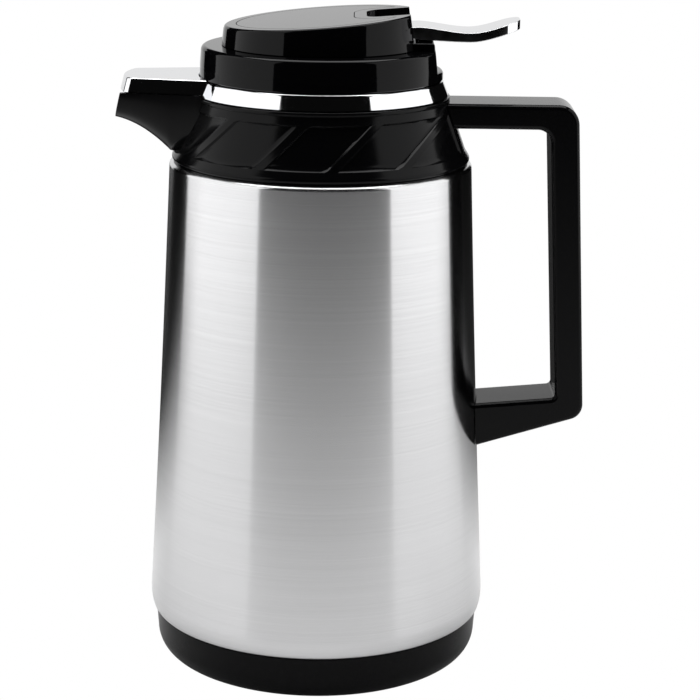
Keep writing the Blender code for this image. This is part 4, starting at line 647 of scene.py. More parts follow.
def make_base_cap():
    """Foot cap with a rounded outer edge, a hollow underside and a tower for the flask's cushion."""
    side = BASE_SIDE_RADIUS - BASE_FOOT_RADIUS
    outline = arc((BASE_FOOT_RADIUS, BASE_ROUND_HEIGHT), (side, BASE_ROUND_HEIGHT), -90, 0, 16)
    spigot_bore = SPIGOT_RADIUS - BASE_WALL
    tower_bore = TOWER_RADIUS - TOWER_WALL
    underside = BASE_FLOOR - BASE_WALL
    outline += [
        (BASE_TOP_RADIUS, BASE_TOP - 0.6), (BASE_TOP_RADIUS - 0.5, BASE_TOP - 0.1),
        (SPIGOT_RADIUS, BASE_TOP), (SPIGOT_RADIUS, SPIGOT_TOP), (spigot_bore, SPIGOT_TOP),
        (spigot_bore, SPIGOT_ROOT), (BASE_FOOT_RADIUS, BASE_FLOOR), (TOWER_RADIUS, BASE_FLOOR),
        (TOWER_RADIUS, TOWER_TOP), (tower_bore, TOWER_TOP), (tower_bore, BASE_FLOOR),
        (PLUG_HOLE_RADIUS, BASE_FLOOR), (PLUG_HOLE_RADIUS, underside),
        (BASE_HOLLOW_RADIUS - 2.1, underside), (BASE_HOLLOW_RADIUS - 0.6, 0.4), (BASE_HOLLOW_RADIUS, 0.0),
    ]
    piece = turn("base_moulding", outline)
    smooth(piece, 35)
    return piece


def keel_height(x):
    """Underside of the spout on its centre line, in mm: a parabola, level beyond its ends."""
    share = min(1.0, max(0.0, (x - SPOUT_TIP_X) / (KEEL_ROOT[0] - SPOUT_TIP_X)))
    near = KEEL_TIP_HEIGHT + (KEEL_BEND_HEIGHT - KEEL_TIP_HEIGHT) * share
    far = KEEL_BEND_HEIGHT + (KEEL_ROOT[1] - KEEL_BEND_HEIGHT) * share
    return near + (far - near) * share


def make_trough(name, wall, lift, top, start, end, stations=40, steps=20):
    """Solid U-shaped trough: the outside of the spout, or the channel in it."""
    deselect()
    across = 2 * steps + 1
    bpy.ops.mesh.primitive_grid_add(x_subdivisions=across - 1, y_subdivisions=stations, size=MM)
    piece = bpy.context.object
    piece.name = name
    bpy.ops.object.mode_set(mode="EDIT")
    mesh = bmesh.from_edit_mesh(piece.data)
    mesh.verts.ensure_lookup_table()
    for index, vertex in enumerate(mesh.verts):
        column, row = index % across, index // across
        x = start + (end - start) * row / stations
        along = min(1.0, max(0.0, (x - SPOUT_TIP_X) / (SPOUT_TAPER_X - SPOUT_TIP_X)))
        half = SPOUT_TIP_HALF + (SPOUT_ROOT_HALF - SPOUT_TIP_HALF) * along - wall
        fade = (1 - along) ** 2
        angle = math.pi / 2 * (column - steps) / steps
        side = math.copysign(abs(math.sin(angle)) ** (2 / SPOUT_ROUNDNESS), column - steps)
        down = max(0.0, math.cos(angle)) ** (2 / SPOUT_ROUNDNESS)
        z = top - (top - keel_height(x) - lift) * down
        lean = SPOUT_TIP_BOW * fade * side**2 - SPOUT_TIP_SLANT * fade * (top - z)
        vertex.co = Vector((x + lean, half * side, z)) * MM
    bmesh.update_edit_mesh(piece.data)
    rim = (top - 0.001) * MM
    pick(piece, "EDGE", lambda edge: len(edge.link_faces) == 1 and all(v.co.z > rim for v in edge.verts))
    bpy.ops.mesh.bridge_edge_loops()
    pick(piece, "EDGE", lambda edge: len(edge.link_faces) == 1)
    bpy.ops.mesh.fill_holes(sides=0)
    close_solid()
    return piece


def panel_columns(height):
    """Angles round the near half at one height, from the spout side to the handle side, with each
    column's share of the panel depth: slanted planes cut the cone into panels, ribs and their slopes."""
    radius = cone_radius(height)
    lean = PANEL_LEAN * (height - CONE_FOOT[1])
    half_slope = PANEL_SLOPE / 2
    pad = math.asin(PAD_HALF_WIDTH / radius)
    keys = [(math.pi, 1.0, 9)]
    for k in range(-2, 3):
        right = PANEL_RIGHT + k * PANEL_PITCH + lean
        left = right - PANEL_WIDTH
        places = []
        if k > -2:
            places += [(left - half_slope, 0.0, 1), (left + half_slope, 1.0, PANEL_MIDDLE_COLUMNS)]
        if k < 2:
            places += [(right - half_slope, 1.0, 1), (right + half_slope, 0.0, 3)]
        for x, depth, count in places:
            keys.append((math.acos(max(-1.0, min(1.0, x / radius))), depth, count))
    keys.append((pad + PANEL_SLOPE / radius, 1.0, 1))
    keys.append((pad, 0.0, 8))
    keys.append((0.0, 0.0, 0))
    angles = [key[0] for key in keys]
    least = 0.003
    for index in range(len(keys) - 3, 0, -1):
        angles[index] = max(angles[index], angles[index + 1] + least)
    last_width = (angles[-5] - angles[-3]) * radius
    columns = []
    for index in range(len(keys) - 1):
        count = keys[index][2]
        for step in range(count):
            share = step / count
            angle = angles[index] + (angles[index + 1] - angles[index]) * share
            depth = keys[index][1] + (keys[index + 1][1] - keys[index][1]) * share
            if index >= len(keys) - 4:
                depth *= min(1.0, max(0.0, last_width / 3.0))
            columns.append((angle, depth))
    return columns


def place_panels(piece, sides):
    """Turns the rings of the shoulder so that their columns follow the panel edges, and sinks them."""
    half_slope = PANEL_SLOPE / 2
    spread = {}
    for vertex in piece.data.vertices:
        x, y, z = vertex.co / MM
        radius = math.hypot(x, y)
        level = min(PANEL_TOP + half_slope, max(PANEL_BOTTOM - half_slope, z))
        key = round(level, 3)
        if key not in spread:
            near = panel_columns(level)
            ring = [(-angle, depth) for angle, depth in near]
            ring.append((0.0, 0.0))
            ring += [(angle, depth) for angle, depth in near[:0:-1]]
            spread[key] = ring
        ring = spread[key]
        column = round((math.atan2(y, x) + math.pi) / (2 * math.pi) * sides) % sides
        angle, depth = ring[column]
        on_cone = abs(radius - cone_radius(z)) < 0.02 and PANEL_BOTTOM + 0.2 < z < PANEL_TOP - 0.2
        if on_cone:
            radius -= PANEL_DEPTH * depth
        vertex.co = Vector((radius * math.cos(angle), radius * math.sin(angle), z)) * MM
    piece.data.update()


def make_shoulder():
    """Cone with sunk panels, bead, flange, upstand and skirt, cut through for the spout's channel."""
    radius, height, round_radius = BEAD
    inner_foot = CONE_FOOT[0] - SHOULDER_WALL
    half_slope = PANEL_SLOPE / 2
    first = PANEL_BOTTOM + half_slope
    rows = [PANEL_BOTTOM - half_slope, first]
    rows += [first + (PANEL_TOP - PANEL_BOTTOM - PANEL_SLOPE) * i / 10 for i in range(1, 11)]
    rows.append(PANEL_TOP + half_slope)
    outline = [(SKIRT_RADIUS, SKIRT_FOOT), (SKIRT_RADIUS, height - round_radius)]
    outline += arc((radius, height), round_radius, -80, 40, 12)
    outline += [CONE_FOOT] + [(cone_radius(z), z) for z in rows] + [CONE_TOP]
    outline += arc((FLANGE_RADIUS - 0.7, SHOULDER_TOP - 1.1), 0.7, -60, 0, 4)
    outline += arc((FLANGE_RADIUS - 0.4, SHOULDER_TOP - 0.4), 0.4, 0, 90, 4)
    outline += [
        (UPSTAND_RADIUS, SHOULDER_TOP), (UPSTAND_RADIUS, UPSTAND_TOP - UPSTAND_EDGE),
        (UPSTAND_RADIUS - UPSTAND_EDGE, UPSTAND_TOP), (UPSTAND_BORE + UPSTAND_EDGE, UPSTAND_TOP),
        (UPSTAND_BORE, UPSTAND_TOP - UPSTAND_EDGE), (UPSTAND_BORE, CONE_TOP[1]),
        (CONE_TOP[0] - SHOULDER_WALL, CONE_TOP[1] - SHOULDER_WALL), (inner_foot, SKIRT_LEDGE + 1.2),
        (inner_foot - 0.65, SKIRT_LEDGE), (SKIRT_BORE, SKIRT_LEDGE), (SKIRT_BORE, SKIRT_FOOT),
    ]
    sides = 2 * len(panel_columns(PANEL_BOTTOM))
    piece = turn("shoulder_moulding", outline, sides)
    place_panels(piece, sides)
    into_triangles(piece)
    cut(piece, make_channel())
    smooth(piece, 40)
    return piece


def make_channel():
    """The channel as a solid, longer than the spout at both ends and higher than its rim."""
    return make_trough(
        "spout_channel", SPOUT_WALL, SPOUT_LIP, SPOUT_RIM + 1.2, SPOUT_TIP_X - 6.0, CHANNEL_END_X,
    )


def make_spout():
    """Trough of the spout, reaching halfway into the wall of the cone."""
    piece = make_trough("spout_moulding", 0.0, 0.0, SPOUT_RIM, SPOUT_TIP_X, SPOUT_ROOT_X)
    foot = CONE_FOOT[0] - SHOULDER_WALL / 2
    top = CONE_TOP[0] - SHOULDER_WALL / 2
    step = SHOULDER_TOP - 0.1
    outline = [(foot, 199.0), (foot, CONE_FOOT[1]), (top, CONE_TOP[1]), (top, step)]
    outline += [(CONE_TOP[0], step), (CONE_TOP[0], 249.0)]
    cut(piece, turn_plug("bowl", outline), make_channel())
    soften(piece, 0.3, 3, 50)
    smooth(piece, 40)
    return piece


def cover_outline(height, inset):
    """Plan of the spout cover at one height, in mm: tapered sides, round corners, bowed front."""
    share = (COVER_TOP - height) / (COVER_TOP - COVER_FOOT)
    spread = COVER_DRAFT * share - inset
    front = COVER_FRONT_X - COVER_FRONT_SLANT * share + inset
    root = COVER_ROOT_X + inset
    tip_half = COVER_TIP_HALF + spread
    root_half = COVER_ROOT_HALF + spread
    bow = []
    for step in range(-12, 13):
        across = step / 12
        bow.append((front + COVER_BOW * across**2, -tip_half * across))
    far = round_corner((root, root_half), bow[0], bow[2], COVER_CORNER, 10)
    near = round_corner(bow[-3], bow[-1], (root, -root_half), COVER_CORNER, 10)
    middle = [point for point in bow if abs(point[1]) < tip_half - COVER_CORNER]
    return [(root, root_half)] + far + middle + near + [(root, -root_half)]


def loft(name, sections):
    """Solid through plan outlines with equal point counts; sections holds (outline, height) in mm."""
    first, low = sections[0]
    piece = prism(name, first, low, sections[1][1], along="z")
    bpy.ops.object.mode_set(mode="EDIT")
    for (_, before), (_, after) in zip(sections[1:], sections[2:]):
        pick(piece, "FACE", lambda face: all(abs(v.co.z - before * MM) < 1e-7 for v in face.verts))
        bpy.ops.mesh.extrude_region_move(TRANSFORM_OT_translate={"value": (0, 0, (after - before) * MM)})
    bpy.ops.object.mode_set(mode="OBJECT")
    for vertex in piece.data.vertices:
        x, y, z = vertex.co / MM
        outline = min(sections, key=lambda section: abs(section[1] - z))[0]
        gaps = [math.hypot(x - a, y - b) for a, b in first]
        place = outline[gaps.index(min(gaps))]
        vertex.co = Vector((place[0], place[1], z)) * MM
    piece.data.update()
    return piece


def cut_notches(piece):
    """V notches on both sides, where the cover meets the ring."""
    top = RING_HIGH + 2.2
    outline = [(0.0, RING_HIGH - NOTCH_DEPTH), (NOTCH_HALF_WIDTH, top), (-NOTCH_HALF_WIDTH, top)]
    for side in (-1, 1):
        angle = math.radians(side * NOTCH_ANGLE)
        wedge = prism("notch", outline, RING_BORE - 1.0, RING_FOOT + 1.0)
        wedge.data.transform(Matrix.Rotation(angle - math.pi / 2, 4, "Z"))
        cut(piece, wedge)


def make_ring():
    """Chrome ring with a rounded top edge, up to the lid's skirt."""
    outline = [(RING_BORE, RING_LOW), (RING_FOOT - RING_FOOT_EDGE, RING_LOW)]
    outline.append((RING_FOOT, RING_LOW + RING_FOOT_EDGE))
    outline += arc((RING_TOP - RING_EDGE, RING_HIGH - RING_EDGE), RING_EDGE, 5, 90, 8)
    outline.append((RING_BORE, RING_HIGH))
    piece = turn("chrome_ring", outline)
    cut_notches(piece)
    smooth(piece, 35)
    return piece


def make_cover():
    """Flat hollow cover of the spout with a rounded top edge, cut round to sit against the ring."""
    levels = [(COVER_FOOT, COVER_FOOT_EDGE), (COVER_FOOT + COVER_FOOT_EDGE, 0.0)]
    for out, up in arc((0, 0), COVER_EDGE, 0, 90, 5):
        levels.append((COVER_TOP - COVER_EDGE + up, COVER_EDGE - out))
    piece = loft("spout_cover", [(cover_outline(height, inset), height) for height, inset in levels])
    levels = (COVER_FOOT - 2.0, COVER_TOP - COVER_WALL)
    hollow = loft("cover_hollow", [(cover_outline(height, COVER_WALL), height) for height in levels])
    low_bore = turn_plug("low_bore", [(COVER_LOW_BORE, 236.0), (COVER_LOW_BORE, COVER_BORE_STEP)])
    step = COVER_BORE_STEP - 0.3
    high_bore = turn_plug("high_bore", [(COVER_HIGH_BORE, step), (COVER_HIGH_BORE, 254.0)])
    cut(piece, hollow, low_bore, high_bore)
    cut_notches(piece)
    smooth(piece, 35)
    return piece


def round_corner(before, corner, after, radius, steps):
    """An arc tangent to the two sides of a corner."""
    a = (Vector(before) - Vector(corner)).normalized()
    b = (Vector(after) - Vector(corner)).normalized()
    half = a.angle(b) / 2
    start = Vector(corner) + a * (radius / math.tan(half))
    end = Vector(corner) + b * (radius / math.tan(half))
    centre = Vector(corner) + (a + b).normalized() * (radius / math.sin(half))
    first = math.atan2(*(start - centre).yx)
    sweep = (math.atan2(*(end - centre).yx) - first + math.pi) % (2 * math.pi) - math.pi
    points = []
    for step in range(steps + 1):
        angle = first + sweep * step / steps
        points.append(tuple(centre + radius * Vector((math.cos(angle), math.sin(angle)))))
    return points


def handle_outline():
    """Side view of the C handle in mm, with its two ends left long inside the body."""
    def grip_outer(z):
        return GRIP_TOP_X + GRIP_LEAN * (HANDLE_TOP - z)

    def lower_top(x):
        return LOWER_ARM_TOP + LOWER_ARM_TOP_SLOPE * (x - LOWER_ARM_X)

    def lower_bottom(x):
        return LOWER_ARM_BOTTOM + LOWER_ARM_BOTTOM_SLOPE * (x - LOWER_ARM_X)

    upper_root = CONE_TOP[0] - SHOULDER_WALL
    lower_root = LOWER_ARM_X - 12.0
    underside = HANDLE_TOP - ARM_HEIGHT
    foot_x = grip_outer(lower_bottom(GRIP_TOP_X))
    outer_foot = (foot_x, lower_bottom(foot_x))
    inner_top = (grip_outer(underside) - GRIP_THICKNESS, underside)
    inner_x = grip_outer(LOWER_ARM_TOP) - GRIP_THICKNESS
    inner_foot = (inner_x, lower_top(inner_x))
    start = (upper_root, HANDLE_TOP)
    outer_top = (grip_outer(HANDLE_TOP), HANDLE_TOP)
    lower_end = (lower_root, lower_bottom(lower_root))
    upper_end = (upper_root, underside)
    lower_start = (lower_root, lower_top(lower_root))
    outline = [start]
    outline += round_corner(start, outer_top, outer_foot, OUTER_CORNER, 14)
    outline += round_corner(outer_top, outer_foot, lower_end, LOWER_CORNER, 14)
    outline += [lower_end, lower_start]
    outline += round_corner(lower_start, inner_foot, inner_top, GRIP_THICKNESS / 6, 8)
    outline += round_corner(inner_foot, inner_top, upper_end, INNER_CORNER, 12)
    outline.append(upper_end)
    return outline


def make_handle():
    """C handle with eased edges, hollowed to fit the body, with room for its tongue and screws."""
    piece = prism("handle_moulding", handle_outline(), -HANDLE_HALF_WIDTH, HANDLE_HALF_WIDTH)
    soften(piece, HANDLE_EDGE, 5, 50)
    low, high = SHELL_FOOT[1], SHELL_RIM - SHELL_LIP
    levels = [low + (high - low) * i / 16 for i in range(17)]
    outline = [(shell_radius(z), z) for z in levels]
    outline += [(SHELL_TOP[0], CONE_FOOT[1]), CONE_FOOT, CONE_TOP]
    outline += [(FLANGE_RADIUS, CONE_TOP[1] + 0.2), (FLANGE_RADIUS, SHOULDER_TOP + 4.0)]
    body_room = turn_plug("body_room", [(radius + HANDLE_GAP, z) for radius, z in outline])
    cut(piece, body_room, block("tongue_room", *TONGUE_ROOM))
    for (radius, length, height), sides in ((UPPER_SCREW_HEAD_ROOM, 48), (UPPER_SCREW_ROOM, 32)):
        drill(piece, radius, length, (UPPER_SCREW_X, 0, height), sides=sides)
    drill(piece, *LOWER_SCREW_ROOM, LOWER_SCREW_PLACE, LEVEL_OUT)
    smooth(piece, 40)
    return piece


def make_lid_collar():
    """Lower tier: skirt, top plate, and the flat, ledge and platform on the handle's side."""
    outline = [(2.0, TIER_FOOT), (TIER_RADII[0] - 0.3, TIER_FOOT), (TIER_RADII[0], TIER_FOOT + 0.3)]
    outline.append((TIER_RADII[1], TIER_MIDDLE))
    outline += arc((TIER_RADII[2] - TIER_EDGE, TIER_TOP - TIER_EDGE), TIER_EDGE, 0, 90, 10)
    outline.append((2.0, TIER_TOP))
    piece = turn_plug("lid_lower_tier", outline)
    flat_top = REAR_FLAT_X - REAR_FLAT_LEAN * (PLATFORM_TOP - TIER_TOP)
    flat_foot = REAR_FLAT_X + REAR_FLAT_LEAN * (TIER_TOP - REAR_LEDGE)
    under_ledge = REAR_LEDGE - TIER_WALL
    outline = [(flat_foot, under_ledge)]
    outline += arc((flat_top - PLATFORM_EDGE, PLATFORM_TOP - PLATFORM_EDGE), PLATFORM_EDGE, 0, 90, 8)
    outline += [(CAP_WALL_X, PLATFORM_TOP), (CAP_WALL_X, under_ledge)]
    platform = prism("platform", outline, -PLATFORM_HALF_WIDTH, PLATFORM_HALF_WIDTH)
    soften(platform, 0.5, 3, 50)
    boolean(piece, platform, "UNION")
    cut(piece, make_rear_cut(flat_foot, under_ledge))
    under_top = TIER_TOP - TIER_WALL
    outline = [(TIER_RADII[0] - TIER_WALL, 246.0), (TIER_RADII[2] - TIER_WALL, under_top)]
    outline += [(TIER_BORE, under_top), (TIER_BORE, 266.0)]
    cavity = turn_plug("skirt_room", outline)
    guard = block("rear_guard", (REAR_FLAT_X - TIER_WALL, 60.0), (under_ledge, TIER_TOP + 1.0), 60.0)
    cut(cavity, guard)
    cut(piece, cavity)
    soften(piece, 0.35, 3, 50)
    smooth(piece, 35)
    return piece


def make_rear_cut(flat_foot, under_ledge):
    """What the rear flat and the ledge with its rounded edge leave out of the lower tier."""
    top = TIER_TOP + 10
    low = REAR_LEDGE - REAR_LEDGE_EDGE
    rounded = [(58.0, top), (58.0, low)]
    rounded += arc((TIER_RADII[0] - REAR_LEDGE_EDGE, low), REAR_LEDGE_EDGE, 0, 90, 8)
    rounded.append((20.0, REAR_LEDGE))
    cutter = turn_plug("rear_cut", rounded)
    high = top + 2
    outline = [(flat_foot + REAR_FLAT_LEAN * TIER_WALL, under_ledge), (60.0, under_ledge), (60.0, high)]
    outline.append((REAR_FLAT_X - REAR_FLAT_LEAN * (high - TIER_TOP), high))
    boolean(cutter, prism("rear_room", outline, -60.0, 60.0), "INTERSECT")
    return cutter


def make_pin_ear(side):
    """One of the two ears that hold the lever's pin, set a little into the platform."""
    near, far = sorted((side * EAR_NEAR, side * EAR_FAR))
    x, z = PIVOT
    outline = [(x - EAR_RADIUS, EAR_FOOT)]
    outline += arc(PIVOT, EAR_RADIUS, 180, 0, 16)
    outline.append((x + EAR_RADIUS, EAR_FOOT))
    piece = prism("pin_ear_near" if side < 0 else "pin_ear_far", outline, near, far)
    drill(piece, EAR_HOLE_RADIUS, 20.0, (x, 0, z), LEVEL_ACROSS)
    soften(piece, 0.2, 2, 50)
    smooth(piece, 35)
    return piece


def slot_plan():
    """Plan of the lever slot in mm, open towards the handle."""
    half = SLOT_HALF_WIDTH
    x = SLOT_END_X + SLOT_CORNER
    far = arc((x, half - SLOT_CORNER), SLOT_CORNER, 90, 180, 10)
    near = arc((x, SLOT_CORNER - half), SLOT_CORNER, 180, 270, 10)
    return [(51.0, half)] + far + near + [(51.0, -half)]


def inlay_plan(grow):
    """Plan of the inlay in mm: round, with a bay that follows the slot."""
    radius = INLAY_RADIUS + grow
    half = SLOT_HALF_WIDTH + INLAY_BORDER - grow
    corner = SLOT_CORNER + INLAY_BORDER - grow
    inner = SLOT_END_X - INLAY_BORDER + grow
    meet = math.sqrt(radius**2 - half**2)
    rim_angle = math.degrees(math.atan2(half, meet))
    rim = arc((0, 0), radius, rim_angle, 360 - rim_angle, 120)
    near = arc((inner + corner, corner - half), corner, 270, 180, 12)
    far = arc((inner + corner, half - corner), corner, 180, 90, 12)
    return rim + near + far


def slant(piece, above):
    """Tilts what lies above a height, in mm, to the slope of the lid's top."""
    for vertex in piece.data.vertices:
        if vertex.co.z > above * MM:
            vertex.co.z += CAP_SLOPE * vertex.co.x
    piece.data.update()


def make_lid_cap():
    """Upper tier with its slanted top, rear flat, lever slot and the bed of the inlay."""
    outline = [(CAP_RADII[0], CAP_FOOT), (CAP_RADII[1], CAP_MIDDLE)]
    outline += arc((CAP_RADII[2] - CAP_EDGE, CAP_TOP - CAP_EDGE), CAP_EDGE, 0, 90, 10)
    piece = turn_plug("lid_upper_tier", outline)
    slant(piece, CAP_MIDDLE + 1.0)
    low, high = CAP_FOOT - 0.6, 290.0
    flat_top = CAP_FLAT_X - CAP_FLAT_LEAN * (high - CAP_FOOT)
    rear = prism("rear", [(CAP_FLAT_X, low), (55.0, low), (55.0, high), (flat_top, high)], -50.0, 50.0)
    slot = prism("slot", slot_plan(), SLOT_FLOOR, high, along="z")
    heights = (low, PLATFORM_TOP + LID_GAP)
    room = block("platform_room", (31.0, 50.0), heights, PLATFORM_HALF_WIDTH + LID_GAP)
    (inner, outer), (inner_top, outer_top) = WINDOW_ENDS, WINDOW_TOPS
    window = prism(
        "arm_window", [(inner, low), (outer, low), (outer, outer_top), (inner, inner_top)],
        -WINDOW_HALF_WIDTH, WINDOW_HALF_WIDTH,
    )
    bed_floor = CAP_TOP - INLAY_THICKNESS - LID_GAP
    bed = prism("inlay_bed", inlay_plan(LID_GAP), bed_floor, CAP_TOP + 2.0, along="z")
    slant(bed, CAP_FOOT)
    cut(piece, rear, slot, room, window, bed)
    radius, length, height = LID_SCREW_ROOM
    for x, y in LID_SCREWS:
        drill(piece, radius, length, (x, y, height), sides=24)
    soften(piece, 0.30, 3, 35)
    smooth(piece, 40)
    return piece


def make_inlay():
    """Thin plate in the lid's top, with eased edges."""
    piece = prism("lid_top_inlay", inlay_plan(0.0), CAP_TOP - INLAY_THICKNESS, CAP_TOP, along="z")
    soften(piece, 0.18, 2, 60)
    slant(piece, CAP_FOOT)
    smooth(piece, 40)
    return piece


def hermite(start, end, start_slope, end_slope, steps=24):
    """Points along a cubic from start to end with a given slope at each end; the first is left out."""
    span = end[0] - start[0]
    points = []
    for step in range(1, steps + 1):
        share = step / steps
        rise = (3 - 2 * share) * share**2
        bend = start_slope * share * (1 - share) ** 2 - end_slope * (1 - share) * share**2
        points.append((start[0] + span * share, start[1] + (end[1] - start[1]) * rise + span * bend))
    return points


def lever_outline():
    """Side view of the thumb lever in mm: level over the pin, dipping, then turned up at the tip."""
    flat_x, flat_top, flat_bottom = LEVER_FLAT
    low_x, low_top, low_bottom = LEVER_LOW
    tip_x, tip_top, tip_bottom = LEVER_TIP
    top = [LEVER_INNER[:2], (flat_x, flat_top)]
    top += hermite((flat_x, flat_top), (low_x, low_top), LEVER_FLAT_SLOPE, 0)
    top += hermite((low_x, low_top), (tip_x, tip_top), 0, LEVER_TIP_SLOPE)
    bottom = [(LEVER_INNER[0], LEVER_INNER[2]), (CAP_WALL_X, LEVER_INNER[2]), (flat_x, flat_bottom)]
    bottom += hermite((flat_x, flat_bottom), (low_x, low_bottom), LEVER_FLAT_SLOPE, 0)
    bottom += hermite((low_x, low_bottom), (tip_x, tip_bottom), 0, LEVER_TIP_SLOPE)
    return top + bottom[::-1]


def make_lever():
    """Chrome thumb lever with its pocket for the ears and its forked inner arm."""
    half = LEVER_HALF_WIDTH
    piece = prism("thumb_lever", lever_outline(), -half - 2, half + 2)
    inner = LEVER_INNER[0] + LEVER_INNER_ROUND
    tip = LEVER_TIP[0] - LEVER_TIP_ROUND
    plan = arc((inner, half - LEVER_INNER_ROUND), LEVER_INNER_ROUND, 90, 180, 10)
    plan += arc((inner, LEVER_INNER_ROUND - half), LEVER_INNER_ROUND, 180, 270, 10)
    plan += arc((tip, LEVER_TIP_ROUND - half), LEVER_TIP_ROUND, 270, 360, 12)
    plan += arc((tip, half - LEVER_TIP_ROUND), LEVER_TIP_ROUND, 0, 90, 12)
    boolean(piece, prism("lever_plan", plan, 240.0, 300.0, along="z"), "INTERSECT")
    soften(piece, LEVER_EDGE, 4, 40)
    x, z = PIVOT
    ends = (x - POCKET_HALF_LENGTH, x + POCKET_HALF_LENGTH)
    cut(piece, block("ear_pocket", ends, (z - 10, POCKET_TOP), POCKET_HALF_WIDTH))
    boolean(piece, make_lever_arm(), "UNION")
    drill(piece, PIVOT_HOLE_RADIUS, 23.0, (x, 0, z), LEVEL_ACROSS)
    smooth(piece, 35)
    return piece


def make_lever_arm():
    """Stepped inner arm whose fork straddles the valve stem and takes its cross pin."""
    root_x, root_top, root_bottom = ARM_ROOT
    step_x, step_bottom = ARM_STEP
    end_x, fork_top, fork_foot = FORK_END
    outline = [(root_x, root_top), (end_x, fork_top), (end_x, fork_foot), (step_x, fork_foot)]
    outline += [(step_x, step_bottom), (root_x, root_bottom), ARM_MEET]
    arm = prism("lever_arm", outline, -ARM_HALF_WIDTH, ARM_HALF_WIDTH)
    beyond = end_x - 5.0
    gap = block("fork_gap", (beyond, FORK_GAP_END_X), (256.0, PIVOT[1]), FORK_GAP_HALF_WIDTH)
    mouth = block("pin_mouth", (beyond, PIN_MOUTH_END_X), PIN_MOUTH_HEIGHTS, ARM_HALF_WIDTH + 1.0)
    cut(arm, gap, mouth)
    return arm


def make_spring():
    """Return spring of round wire, wound upwards and closed at both ends."""
    deselect()
    bpy.ops.mesh.primitive_circle_add(
        vertices=10, radius=SPRING_WIRE * MM, location=(SPRING_RADIUS * MM, 0, SPRING_LOW * MM),
        rotation=LEVEL_ACROSS,
    )
    piece = bpy.context.object
    piece.name = "return_coil"
    bpy.ops.object.transform_apply()
    coil = piece.modifiers.new("coil", "SCREW")
    coil.iterations = SPRING_TURNS
    coil.screw_offset = (SPRING_HIGH - SPRING_LOW) / SPRING_TURNS * MM
    coil.steps = 24
    coil.render_steps = 24
    apply_modifiers(piece)
    shape = bmesh.new()
    shape.from_mesh(piece.data)
    bmesh.ops.holes_fill(shape, edges=[edge for edge in shape.edges if edge.is_boundary])
    bmesh.ops.recalc_face_normals(shape, faces=shape.faces)
    shape.to_mesh(piece.data)
    shape.free()
    smooth(piece, 50)
    return piece


def set_camera():
    """Camera at the photograph's place, pitched down and rolled by a little."""
    data = bpy.data.cameras.new("photo_camera")
    data.sensor_width = SENSOR_WIDTH
    data.sensor_fit = "HORIZONTAL"
    data.lens = CAMERA_FOCAL_PIXELS * SENSOR_WIDTH / PICTURE_PIXELS
    data.clip_start = 0.01
    camera = bpy.data.objects.new("photo_camera", data)
    bpy.context.scene.collection.objects.link(camera)
    right = Vector((1, 0, 0))
    up = Vector((0, math.sin(CAMERA_PITCH), math.cos(CAMERA_PITCH)))
    ahead = Vector((0, math.cos(CAMERA_PITCH), -math.sin(CAMERA_PITCH)))
    turned_right = right * math.cos(CAMERA_ROLL) + up * math.sin(CAMERA_ROLL)
    turned_up = up * math.cos(CAMERA_ROLL) - right * math.sin(CAMERA_ROLL)
    axes = Matrix((turned_right, turned_up, -ahead)).transposed().to_4x4()
    camera.matrix_world = Matrix.Translation(CAMERA_PLACE) @ axes
    bpy.context.scene.camera = camera


def softbox(name, place, target, size, power):
    data = bpy.data.lights.new(name, "AREA")
    data.shape = "RECTANGLE"
    data.size, data.size_y = size
    data.energy = power
    lamp = bpy.data.objects.new(name, data)
    bpy.context.scene.collection.objects.link(lamp)
    lamp.location = place
    lamp.rotation_euler = (Vector(target) - Vector(place)).to_track_quat("-Z", "Y").to_euler()


def either_ray(tree, first, second):
    """1 for rays of either kind, 0 for the rest."""
    rays = node(tree, "ShaderNodeLightPath").outputs
    return node(tree, "ShaderNodeMath", {0: rays[first], 1: rays[second]}, operation="MAXIMUM").outputs[0]


def add_glow(tree, shader, share, strength):
    """Lets a white glow take the place of the shader by its share."""
    glow = node(tree, "ShaderNodeEmission", {"Color": (1, 1, 1, 1), "Strength": strength})
    mix = node(tree, "ShaderNodeMixShader", {0: share, 1: shader.outputs[0], 2: glow.outputs[0]})
    tree.links.new(mix.outputs[0], tree.nodes["Material Output"].inputs["Surface"])


def set_light():
    """Two tall softboxes beside the jug, one overhead, and a white surround that only the camera
    and clear things see; the room itself is dark, as the black middle of the ring shows."""
    softbox("left_softbox", *LEFT_SOFTBOX)
    softbox("right_softbox", *RIGHT_SOFTBOX)
    softbox("top_softbox", *TOP_SOFTBOX)
    world = bpy.data.worlds.new("white_studio")
    bpy.context.scene.world = world
    world.use_nodes = True
    tree = world.node_tree
    background = tree.nodes["Background"]
    background.inputs["Color"].default_value = (1, 1, 1, 1)
    shown = either_ray(tree, "Is Camera Ray", "Is Transmission Ray")
    level = map_range(tree, shown, 0.0, 1.0, ROOM_LEVEL, 1.0)
    tree.links.new(level, background.inputs["Strength"])


def make_backdrop():
    """White sheet far behind the jug, white to the camera and a little darker in reflections."""
    deselect()
    bpy.ops.mesh.primitive_plane_add(size=1.0, location=BACKDROP_PLACE, rotation=LEVEL_ACROSS)
    sheet = bpy.context.object
    sheet.name = "backdrop"
    sheet.scale = BACKDROP_SIZE
    bpy.ops.object.transform_apply()
    made, tree, shader = new_material("studio_backdrop_white")
    set_values(shader, {"Base Color": colour("101010"), "Roughness": 0.9})
    seen = node(tree, "ShaderNodeLightPath").outputs["Is Camera Ray"]
    strength = map_range(tree, seen, 0.0, 1.0, BACKDROP_MIRRORED, 1.0)
    add_glow(tree, shader, either_ray(tree, "Is Camera Ray", "Is Glossy Ray"), strength)
    sheet.data.materials.append(made)


